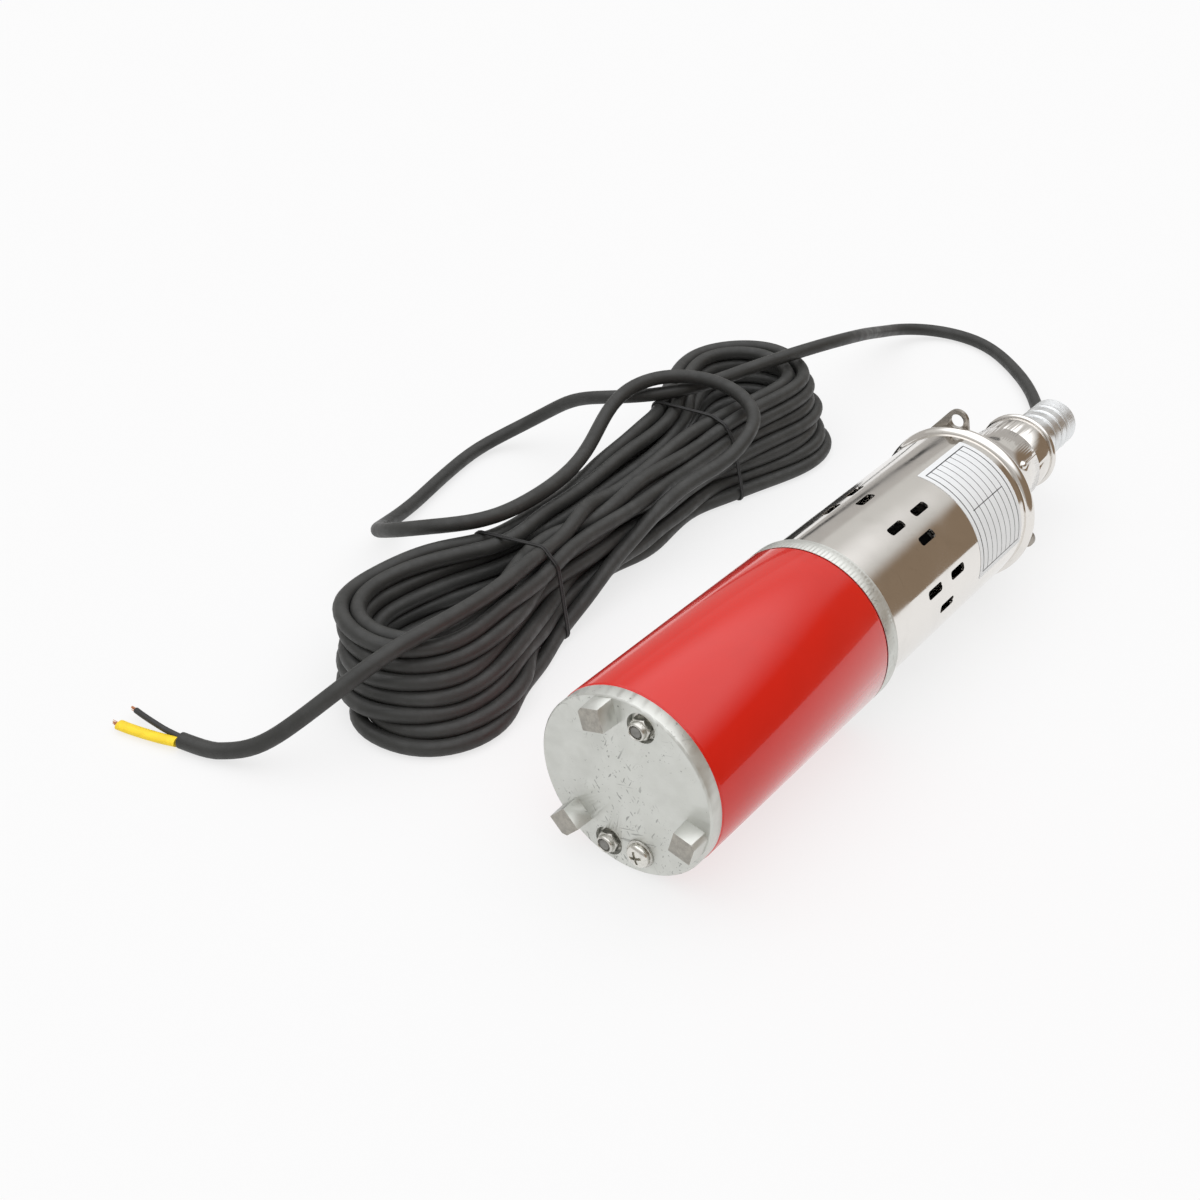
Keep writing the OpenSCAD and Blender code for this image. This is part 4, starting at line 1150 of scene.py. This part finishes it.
class PUMP_OT_cap_fasteners(bpy.types.Operator):
    """Makes the nuts, washers and threaded ends of the tie rods, and the oil filler screw"""

    bl_idname = "pump.cap_fasteners"
    bl_label = "Nuts and screw"

    def execute(self, context):
        zinc = plain_metal("zinc_plating", colours().zinc, 0.30, scale=260.0)
        steel = plain_metal("rod_steel", darker(colours().zinc, 0.4), 0.45, scale=320.0)
        nuts, washers, rods = [], [], []
        for place in rod_places(CAP_FACE):
            centre = (place.x, place.z)
            nuts.append(self.nut(centre))
            washers.append(self.washer(centre))
            rods.append(self.rod_end(centre))
        dress(join("nuts", nuts), zinc, "zinc_plate", "tie_rod_nuts")
        dress(join("nut_washers", washers), zinc, "zinc_plate", "tie_rod_washers")
        dress(join("rod_ends", rods), steel, "zinc_plate", "tie_rods")
        self.filler_screw()
        return {"FINISHED"}

    def nut(self, centre):
        """A hexagon with chamfered corners and a round locking collar, crimped inwards at its end."""
        size = sizes()
        lo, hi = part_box("tie_rod_nuts")
        corner = size.nut_af / math.sqrt(3)
        collar = lo.y + size.nut_collar
        place = Vector((centre[0], (collar + hi.y) / 2, centre[1]))
        nut = drum("nut", place, corner, hi.y - collar, 6, math.radians(20))
        chamfer = [(0, collar - MM), (corner * 0.84, collar), (corner * 1.02, collar + 0.8 * MM),
                   (corner * 1.02, hi.y - 0.5 * MM), (corner * 0.9, hi.y), (0, hi.y + MM)]
        combine(nut, lathe("chamfer", chamfer, centre=centre, steps=64), "INTERSECT")
        crimp = [(radius * MM, lo.y + depth * MM) for radius, depth in NUT_CRIMP]
        ring = [(0, collar + MM), (crimp[0][0], collar + MM)] + crimp + [(0, lo.y + MM)]
        combine(nut, lathe("collar", ring, centre=centre, steps=64), "UNION")
        combine(nut, drum("bore", place, ROD_R + 0.05 * MM, 0.1, 48))
        soften(nut, 0.1 * MM)
        return nut

    def washer(self, centre):
        lo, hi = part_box("tie_rod_washers")
        washer = tube("washer", ROD_R + 0.1 * MM, 5.35 * MM, lo.y, hi.y, centre=centre, steps=64)
        soften(washer, 0.15 * MM)
        return washer

    def rod_end(self, centre):
        """A rod whose end carries a thread of fine ridges."""
        lo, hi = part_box("tie_rods")
        ridges, pitch, deep, lead = 9, 0.8 * MM, 0.3 * MM, 0.3 * MM
        outline = [(0, lo.y), (ROD_R - 0.45 * MM, lo.y), (ROD_R - deep, lo.y + lead)]
        for number in range(ridges):
            start = lo.y + lead + number * pitch
            outline += [(ROD_R, start + pitch / 2), (ROD_R - deep, start + pitch)]
        outline += [(ROD_R, outline[-1][1] + 0.4 * MM), (ROD_R, hi.y), (0, hi.y)]
        rod = lathe("rod", outline, centre=centre, steps=40)
        shade(rod, 25)
        return rod

    def filler_screw(self):
        """A domed screw with a cross slot, on its sealing washer."""
        lo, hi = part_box("oil_filler_screw")
        middle, radius = node_middle("oil_filler_screw"), node_radius("oil_filler_screw")
        centre = (middle.x, middle.z)
        under, stem = low("oil_screw_washer").y, 2.4 * MM
        head = under - lo.y
        dome = [(0, lo.y)]
        for step in (0.35, 0.6, 0.85, 1.1, 1.35, math.pi / 2):
            dome.append((radius * math.sin(step), under - 0.35 * head - 0.65 * head * math.cos(step)))
        dome += [(radius, under - 0.12 * head), (radius * 0.94, under)]
        dome += [(stem, under), (stem, hi.y), (0, hi.y)]
        screw = lathe("filler_screw", dome, centre=centre, steps=72)
        middle.y = lo.y + 0.25 * head
        for turn in (20, 110):
            combine(screw, block("slot", middle, (radius * 1.15, head * 0.9, 1.1 * MM), math.radians(turn)))
        soften(screw, 0.18 * MM)
        plating = plain_metal("screw_plating", darker(colours().zinc, 1.2), 0.22, scale=260.0)
        dress(screw, plating, "zinc_plate", "oil_filler_screw")
        wide = node_radius("oil_screw_washer")
        ring = tube("screw_washer", stem + 0.05 * MM, wide, under, CAP_FACE, centre=centre, steps=64)
        soften(ring, 0.25 * MM)
        plating = plain_metal("washer_plating", darker(colours().zinc, 0.9), 0.3, scale=260.0)
        dress(ring, plating, "black_rubber", "oil_screw_washer")


class PUMP_OT_top_flange(bpy.types.Operator):
    """Turns the ring that shows between the barrel and the sleeve"""

    bl_idname = "pump.top_flange"
    bl_label = "Top flange"

    def execute(self, context):
        inner, bevel = SLEEVE_R - 3 * MM, 0.8 * MM
        ring = lathe("flange_ring", [
            (inner, BARREL_END), (BARREL_R, BARREL_END), (BARREL_R, SLEEVE_START - bevel),
            (BARREL_R - bevel, SLEEVE_START), (inner, SLEEVE_START),
        ], closed=True, steps=180)
        soften(ring, 0.2 * MM)
        dress(ring, cast_metal(), "cast_aluminium")
        paint_node("top_flange", cast_metal())
        return {"FINISHED"}


class PUMP_OT_sleeve(bpy.types.Operator):
    """Rolls the sleeve, cuts its intake slots and sticks the plain sticker on it"""

    bl_idname = "pump.sleeve"
    bl_label = "Sleeve and sticker"

    def execute(self, context):
        size = sizes()
        sleeve = tube("sleeve", SLEEVE_R - size.wall, SLEEVE_R, SLEEVE_START, SLEEVE_END, steps=240)
        middle = SLEEVE_START + size.slot_middle
        cutters = []
        for number in range(size.slot_groups):
            single = size.slot_angle - math.tau * number / size.slot_groups
            cutters.append(self.slot(single, middle))
            for side in (-1, 1):
                cutters.append(self.slot(single + size.slot_step, middle + side * size.slot_pair / 2))
        combine(sleeve, join("slots", cutters))
        soften(sleeve, 0.12 * MM)
        true_round(sleeve, SLEEVE_R)
        dress(sleeve, polished_stainless(), "polished_stainless", "pump_sleeve")
        self.sticker(size)
        return {"FINISHED"}

    def slot(self, turn, y):
        """A cutter with round corners, pointing out from the axis."""
        size = sizes()
        place = at_angle(math.degrees(turn), SLEEVE_R, y)
        cutter = block("slot", place, (8 * MM, size.slot_l, size.slot_w), turn)
        bpy.ops.object.mode_set(mode="EDIT")
        mesh = bmesh.from_edit_mesh(cutter.data)
        outward = Vector((math.cos(turn), 0, math.sin(turn)))
        for edge in mesh.edges:
            heading = (edge.verts[0].co - edge.verts[1].co).normalized()
            edge.select_set(abs(heading.dot(outward)) > 0.9)
        bmesh.update_edit_mesh(cutter.data)
        bpy.ops.mesh.bevel(offset=size.slot_corner, segments=6, affect="EDGES")
        bpy.ops.object.mode_set(mode="OBJECT")
        return cutter

    def sticker(self, size):
        """A line along the sleeve, spun through the sticker's angle, with its corners rounded."""
        over, thickness, corner = 0.04 * MM, 0.1 * MM, 0.7 * MM
        start = SLEEVE_END - size.label_gap - size.label_length
        first = at_angle(math.degrees(size.label_low), SLEEVE_R + over, start)
        sticker = draw("sticker", [first, first + Vector((0, size.label_length, 0))])
        bpy.ops.mesh.select_all(action="SELECT")
        turn = size.label_high - size.label_low
        bpy.ops.mesh.spin(steps=60, angle=turn, center=(0, 0, AXIS_Z), axis=(0, 1, 0))
        close_mesh()
        bpy.ops.object.mode_set(mode="EDIT")
        mesh = bmesh.from_edit_mesh(sticker.data)
        mesh.faces.ensure_lookup_table()
        outward = mesh.faces[0].calc_center_median() - Vector((0, start, AXIS_Z))
        if mesh.faces[0].normal.dot(outward) < 0:
            bpy.ops.mesh.flip_normals()
        bpy.ops.mesh.select_all(action="DESELECT")
        mesh = bmesh.from_edit_mesh(sticker.data)
        for vert in mesh.verts:
            vert.select_set(len(vert.link_edges) == 2)
        bmesh.update_edit_mesh(sticker.data)
        bpy.ops.mesh.bevel(offset=corner, segments=4, affect="VERTICES")
        bpy.ops.object.mode_set(mode="OBJECT")
        apply_modifier(sticker, "SOLIDIFY", thickness=thickness, offset=1.0)
        shade(sticker, 40)
        dress(sticker, sticker_paper(), "polished_stainless")


class PUMP_OT_head(bpy.types.Operator):
    """Spins the head with its rolled bead and flare, and the outlet neck"""

    bl_idname = "pump.head"
    bl_label = "Head and neck"

    def execute(self, context):
        size = sizes()
        self.head(size)
        self.neck(size)
        return {"FINISHED"}

    def head(self, size):
        """The spun sheet from the sleeve to the collar, with the gland's hole and a small round pip."""
        section, wall, start = size.bead_section, size.wall, low("pump_head").y
        bead_y = SLEEVE_END + section
        bead = arc_points((BEAD_R - section, bead_y), section, -80, 80, 10)
        shoulder = (size.shoulder_r, PLATE_END + 0.5 * MM)
        flare = flare_points(shoulder, (size.collar_r, COLLAR_END - size.collar_h), 24)
        outer = [(SLEEVE_R - wall, start), (SLEEVE_R - wall, SLEEVE_END)] + bead
        outer += [(size.shoulder_r, PLATE_START)] + flare + [(size.collar_r, COLLAR_END)]
        inner = [(size.collar_r - wall, COLLAR_END)]
        inner += [(radius - wall, y) for radius, y in reversed(flare)]
        inner += [(size.shoulder_r - wall, bead_y), (size.shoulder_r - wall, start)]
        head = lathe("head", outer + inner, closed=True, steps=216)
        gland = "gland_ferrule"
        deep = high(gland).y - low(gland).y
        combine(head, drum("gland_hole", node_middle(gland), node_radius(gland), deep, 64))
        pip = at_angle(35, size.collar_r - 0.7 * MM, COLLAR_END - 13.5 * MM)
        deselect()
        bpy.ops.mesh.primitive_uv_sphere_add(segments=48, ring_count=24, radius=2.2 * MM, location=pip)
        combine(head, added("pip"), "UNION")
        soften(head, 0.25 * MM, limit=40)
        dress(head, polished_stainless(), "polished_stainless", "pump_head")

    def neck(self, size):
        """The tapered neck with its round lip, on a skirt inside the collar."""
        half = size.lip_t / 2
        bore, skirt = size.barb_r - 0.7 * MM, size.collar_r - size.wall - 0.3 * MM
        skirt_start = COLLAR_END - 6 * MM
        outline = [(size.collar_r - 0.6 * MM, COLLAR_END + 0.05 * MM)]
        outline.append((size.neck_r, NECK_END - size.lip_t - 0.3 * MM))
        outline += arc_points((size.lip_r - half, NECK_END - half), half, -90, 90, 15)
        outline += [(bore, NECK_END), (bore, skirt_start), (skirt, skirt_start), (skirt, COLLAR_END)]
        neck = lathe("neck", outline, closed=True, steps=180)
        soften(neck, 0.2 * MM, limit=40)
        dress(neck, polished_stainless(), "polished_stainless", "outlet_neck")


class PUMP_OT_rope_eye(bpy.types.Operator):
    """Cuts the dull steel plate under the flare, with its rope eye and locating tab"""

    bl_idname = "pump.rope_eye"
    bl_label = "Rope eye"

    def execute(self, context):
        size = sizes()
        thick = PLATE_END - PLATE_START
        half = Vector((0, thick / 2, 0))
        ring_r = BEAD_R - size.bead_section + 0.3 * MM
        body = tube("eye_plate", size.shoulder_r + 0.05 * MM, ring_r, PLATE_START, PLATE_END)
        centre = at_angle(math.degrees(size.eye_angle), size.eye_r, PLATE_START)
        combine(body, plate("ear", self.ear(size, ring_r, centre), thick), "UNION")
        tab = at_angle(math.degrees(size.tab_angle), ring_r, PLATE_START + thick / 2)
        combine(body, drum("tab", tab, size.tab_r, thick, 48), "UNION")
        through_all = 20 * MM
        combine(body, drum("eye_hole", centre + half, size.eye_hole_r, through_all, 48))
        middle = Vector((0, PLATE_START + thick / 2, AXIS_Z))
        combine(body, drum("shoulder", middle, size.shoulder_r + 0.02 * MM, through_all, 144))
        soften(body, 0.3 * MM)
        steel = plain_metal("eye_steel_dull", colours().eye_steel, 0.38, scale=180.0)
        dress(body, steel, "eye_steel", "rope_eye_plate")
        return {"FINISHED"}

    def ear(self, size, ring_r, centre):
        """The ear's outline: square on one side, round its hole, tangent to the plate on the other side."""
        round_steps, root_steps = 24, 16
        end_r = size.eye_hole_r + size.eye_rim
        eye = math.degrees(size.eye_angle)
        spread = math.degrees(math.acos((ring_r - end_r) / size.eye_r))
        square = eye - math.degrees(math.asin(end_r / ring_r))
        outline = [at_angle(square, ring_r, PLATE_START)]
        for step in range(round_steps + 1):
            turn = math.radians(eye - 90 + (spread + 90) * step / round_steps)
            outline.append(centre + Vector((math.cos(turn), 0, math.sin(turn))) * end_r)
        outline.append(at_angle(eye + spread, ring_r, PLATE_START))
        for step in range(root_steps + 1):
            turn = eye + spread + (square - eye - spread) * step / root_steps
            outline.append(at_angle(turn, size.shoulder_r + 0.6 * MM, PLATE_START))
        return outline


class PUMP_OT_hose_barb(bpy.types.Operator):
    """Turns the plated hose barb with its shoulder, barbs and threaded end"""

    bl_idname = "pump.hose_barb"
    bl_label = "Hose barb"

    def execute(self, context):
        size = sizes()
        shank, edge, bore = size.barb_r, size.barb_r + size.barb_edge, size.barb_bore
        shoulder, spigot, spigot_start = edge + 1.4 * MM, shank - 0.8 * MM, NECK_END - 8 * MM
        outline = [(bore, spigot_start), (spigot, spigot_start), (spigot, NECK_END), (shoulder, NECK_END),
                   (shoulder, NECK_END + 1.4 * MM), (shank + 0.15 * MM, NECK_END + 2.2 * MM)]
        barbs = 3
        for number in range(barbs):
            here = NECK_END + size.barb_shank + number * size.barb_pitch
            outline += [(shank, here), (edge, here + 0.35 * MM), (edge, here + 1.0 * MM)]
            slope = 2.4 * MM if number == barbs - 1 else size.barb_pitch - 0.05 * MM
            outline.append((shank, here + slope))
        here, ridge, deep = outline[-1][1] + 0.2 * MM, 1.2 * MM, 0.35 * MM
        while here + ridge < BARB_END - 0.5 * MM:
            outline += [(shank - deep, here), (shank + deep, here + 0.3 * ridge),
                        (shank + deep, here + 0.65 * ridge), (shank - deep, here + 0.95 * ridge)]
            here += ridge
        outline += [(shank - 0.5 * MM, BARB_END - 0.2 * MM), (shank - 1.2 * MM, BARB_END), (bore, BARB_END)]
        barb = lathe("barb", outline, closed=True, steps=160)
        soften(barb, 0.1 * MM, limit=25, smooth=25)
        plating = plain_metal("bright_plating", colours().plating, 0.33, scale=120.0, mark=0.2)
        dress(barb, plating, "plated_barb", "hose_barb")
        return {"FINISHED"}


# One rib of the strain relief: share of its length and depth under the outline in millimetres
RIB = ((0.15, 0.0), (0.55, 0.0), (0.65, 0.55), (0.95, 0.55))
RIBS = 7


class PUMP_OT_cable_gland(bpy.types.Operator):
    """Makes the ferrule in the flare and the ribbed strain relief"""

    bl_idname = "pump.cable_gland"
    bl_label = "Cable gland"

    def execute(self, context):
        lo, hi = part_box("gland_ferrule")
        middle = node_middle("gland_ferrule")
        centre = (middle.x, middle.z)
        outer, root, loose = node_radius("gland_ferrule"), node_radius("strain_relief"), 0.05 * MM
        back, inner, rim = lo.y + 0.2 * MM, root + loose, outer - loose
        ferrule = lathe("ferrule", [
            (inner, back), (rim, back), (rim, hi.y - MM), (outer - 0.6 * MM, hi.y), (inner, hi.y),
        ], centre=centre, closed=True, steps=72)
        soften(ferrule, 0.2 * MM)
        dress(ferrule, polished_stainless(), "polished_stainless", "gland_ferrule")
        end, start = high("strain_relief").y, lo.y + 0.4 * MM
        bore, tip = cable().diameter / 2 + 0.04 * MM, cable().diameter / 2 + 0.7 * MM
        outline = [(bore, start), (root, start), (root, hi.y)]
        for number in range(RIBS):
            for share, dip in RIB:
                along = (number + share) / RIBS
                radius = root + (tip - root) * along - dip * MM * (1 - 0.6 * along)
                outline.append((max(radius, bore + 0.25 * MM), hi.y + (end - hi.y) * along))
        outline += [(tip, end), (bore, end)]
        relief = lathe("relief", outline, centre=centre, closed=True, steps=56)
        soften(relief, 0.15 * MM)
        rubber = dull_solid("relief_rubber", darker(colours().jacket, 0.8), 0.55)
        dress(relief, rubber, "black_rubber", "strain_relief")
        return {"FINISHED"}


# Finishes of the inner pieces: name, colour, roughness and the nodes that have them
INNER_METALS = (
    ("lamination_steel", (0.36, 0.37, 0.38), 0.42, ("armature_core",)),
    ("spring_steel", (0.62, 0.62, 0.62), 0.28, ("brush_springs",)),
    ("bearing_steel", (0.66, 0.67, 0.68), 0.20, ("lower_bearing", "upper_bearing")),
    ("shaft_steel", (0.60, 0.61, 0.62), 0.24, ("motor_shaft", "coupling_hub", "drive_rod")),
    ("screw_chrome", (0.74, 0.75, 0.77), 0.12, ("screw_rotor",)),
    ("stator_steel", (0.58, 0.57, 0.55), 0.30, ("stator_tube",)),
    ("enamelled_copper", (0.62, 0.23, 0.10), 0.34, ("armature_winding",)),
    ("bare_copper", (0.80, 0.42, 0.24), 0.30, ("commutator",)),
)
INNER_SOLIDS = (
    ("o_ring_rubber", (0.016, 0.016, 0.016), 0.5, ("barrel_o_rings", "outlet_o_ring", "lead_grommet")),
    ("seal_rubber", (0.022, 0.020, 0.020), 0.5, ("shaft_seal",)),
    ("stator_rubber_black", (0.020, 0.020, 0.020), 0.6, ("stator_rubber",)),
    ("ferrite_grey", (0.055, 0.056, 0.060), 0.55, ("magnets",)),
    ("brush_carbon_grey", (0.035, 0.035, 0.038), 0.6, ("carbon_brushes",)),
    ("phenolic_brown", (0.10, 0.055, 0.030), 0.45, ("brush_holder",)),
    ("moulded_black", (0.030, 0.031, 0.033), 0.42, ("discharge_adaptor",)),
)


class PUMP_OT_inner_works(bpy.types.Operator):
    """Gives the motor, the screw and the other inner pieces their finishes"""

    bl_idname = "pump.inner_works"
    bl_label = "Inner works"

    def execute(self, context):
        for name, tint, rough, nodes in INNER_METALS:
            for node in nodes:
                paint_node(node, plain_metal(name, tint, rough, scale=200.0))
        for name, tint, rough, nodes in INNER_SOLIDS:
            for node in nodes:
                paint_node(node, dull_solid(name, tint, rough))
        paint_node("inner_lead", cable_rubber())
        return {"FINISHED"}


# The studio: its camera, the floor that ends beside the pump, and the directions of the world's parts
CAMERA_PLACE = (0.26009, -0.52874, 0.40337)
CAMERA_TURN = (math.radians(56.797), 0, math.radians(37.653))
CAMERA_LENS, SENSOR_WIDTH = 47.65, 36.0
FLOOR_WIDTH, FLOOR_EDGE, FLOOR_DROP = 90.0, 0.36, 0.3 * MM
ROOM_SIDE = (0.954, 0.30, 0.0)
SEAM_ACROSS = (0.497, 0.527, -0.689)
SEAM_MIDDLE = (-0.52, 0.82, 0.25)
WORLD_STRENGTH = 1.7


class PUMP_OT_stage(bpy.types.Operator):
    """Sets the pale floor, the soft lights and the camera"""

    bl_idname = "pump.stage"
    bl_label = "Studio"

    def execute(self, context):
        self.floor()
        self.lights(context)
        self.camera(context)
        return {"FINISHED"}

    def floor(self):
        deselect()
        place = (FLOOR_EDGE - FLOOR_WIDTH / 2, 0, -FLOOR_DROP)
        bpy.ops.mesh.primitive_plane_add(size=FLOOR_WIDTH, location=place)
        floor = added("floor")
        tint, glow = colours().floor, (*colours().glow, 1.0)
        material, tree, shader, place = principled("pale_floor", Specular_IOR_Level=0.0, Roughness=0.6,
                                                   Emission_Color=glow, Emission_Strength=1.0)
        base = blend_colour(tree, noise(tree, place, 3.0), tint, darker(tint, 0.99))
        tree.links.new(base, shader.inputs["Base Color"])
        floor.data.materials.append(material)

    def towards(self, tree, heading, direction):
        item = put(tree, "ShaderNodeVectorMath", {"operation": "DOT_PRODUCT"})
        tree.links.new(heading, item.inputs[0])
        item.inputs[1].default_value = direction
        return item.outputs["Value"]

    def dark_seam(self, tree, heading):
        """The dark seam of the studio's back wall, which the sleeve mirrors as a thin line."""
        away = math_node(tree, "ABSOLUTE", self.towards(tree, heading, SEAM_ACROSS))
        thin = ramp(tree, away, 0.012, 0.026, 1.0, 0.0)
        return times(tree, thin, ramp(tree, self.towards(tree, heading, SEAM_MIDDLE), 0.92, 0.95))

    def lights(self, context):
        """A bright soft ceiling, a paler band below it, a dim brown room on one side and a pale backdrop."""
        world = bpy.data.worlds.new("studio_world")
        context.scene.world = world
        world.use_nodes = True
        tree = world.node_tree
        heading = put(tree, "ShaderNodeTexCoord").outputs["Generated"]
        rise = put(tree, "ShaderNodeSeparateXYZ", Vector=heading).outputs["Z"]
        side = self.towards(tree, heading, ROOM_SIDE)
        walls = blend_colour(tree, ramp(tree, rise, 0.405, 0.43), colours().wall, colours().softbox)
        sky = blend_colour(tree, ramp(tree, rise, 0.56, 0.80), walls, colours().ceiling)
        dim = times(tree, ramp(tree, side, 0.42, 0.60), ramp(tree, rise, 0.44, 0.62, 1.0, 0.0))
        sky = blend_colour(tree, dim, sky, colours().room)
        sky = blend_colour(tree, self.dark_seam(tree, heading), sky, colours().seam)
        seen = put(tree, "ShaderNodeLightPath").outputs["Is Camera Ray"]
        sky = blend_colour(tree, seen, sky, colours().backdrop)
        background = tree.nodes["Background"].inputs
        tree.links.new(sky, background["Color"])
        background["Strength"].default_value = WORLD_STRENGTH
        context.scene.view_settings.view_transform = "Standard"

    def camera(self, context):
        deselect()
        bpy.ops.object.camera_add(location=CAMERA_PLACE, rotation=CAMERA_TURN)
        camera = bpy.context.object
        camera.name = camera.data.name = "photo_camera"
        camera.data.lens = CAMERA_LENS
        camera.data.sensor_width = SENSOR_WIDTH
        context.scene.camera = camera


OPERATORS = (
    PUMP_OT_stage, PUMP_OT_cable, PUMP_OT_motor_barrel, PUMP_OT_bottom_cap, PUMP_OT_cap_fasteners,
    PUMP_OT_top_flange, PUMP_OT_sleeve, PUMP_OT_head, PUMP_OT_rope_eye, PUMP_OT_hose_barb,
    PUMP_OT_cable_gland, PUMP_OT_inner_works,
)


class PUMP_PT_panel(bpy.types.Panel):
    """Lists the pump's pieces in the sidebar"""

    bl_label = "Borehole pump"
    bl_idname = "PUMP_PT_panel"
    bl_space_type = "VIEW_3D"
    bl_region_type = "UI"
    bl_category = "Pump"

    def draw(self, context):
        for operator in OPERATORS:
            self.layout.operator(operator.bl_idname)
        for group in (context.scene.pump_sizes, context.scene.pump_cable, context.scene.pump_colours):
            box = self.layout.box()
            for name in group.__annotations__:
                box.prop(group, name)


CLASSES = (PumpSizes, CableSizes, PumpColours, *OPERATORS, PUMP_PT_panel)


def register():
    for item in CLASSES:
        bpy.utils.register_class(item)
    bpy.types.Scene.pump_sizes = PointerProperty(type=PumpSizes)
    bpy.types.Scene.pump_cable = PointerProperty(type=CableSizes)
    bpy.types.Scene.pump_colours = PointerProperty(type=PumpColours)


def unregister():
    del bpy.types.Scene.pump_sizes, bpy.types.Scene.pump_cable, bpy.types.Scene.pump_colours
    for item in reversed(CLASSES):
        bpy.utils.unregister_class(item)


def main():
    register()
    bpy.ops.pump.stage()
    bpy.ops.pump.cable()
    bpy.ops.pump.motor_barrel()
    bpy.ops.pump.bottom_cap()
    bpy.ops.pump.cap_fasteners()
    bpy.ops.pump.top_flange()
    bpy.ops.pump.sleeve()
    bpy.ops.pump.head()
    bpy.ops.pump.rope_eye()
    bpy.ops.pump.hose_barb()
    bpy.ops.pump.cable_gland()
    bpy.ops.pump.inner_works()
    deselect()
    bpy.context.view_layer.update()


if __name__ == "__main__":
    main()
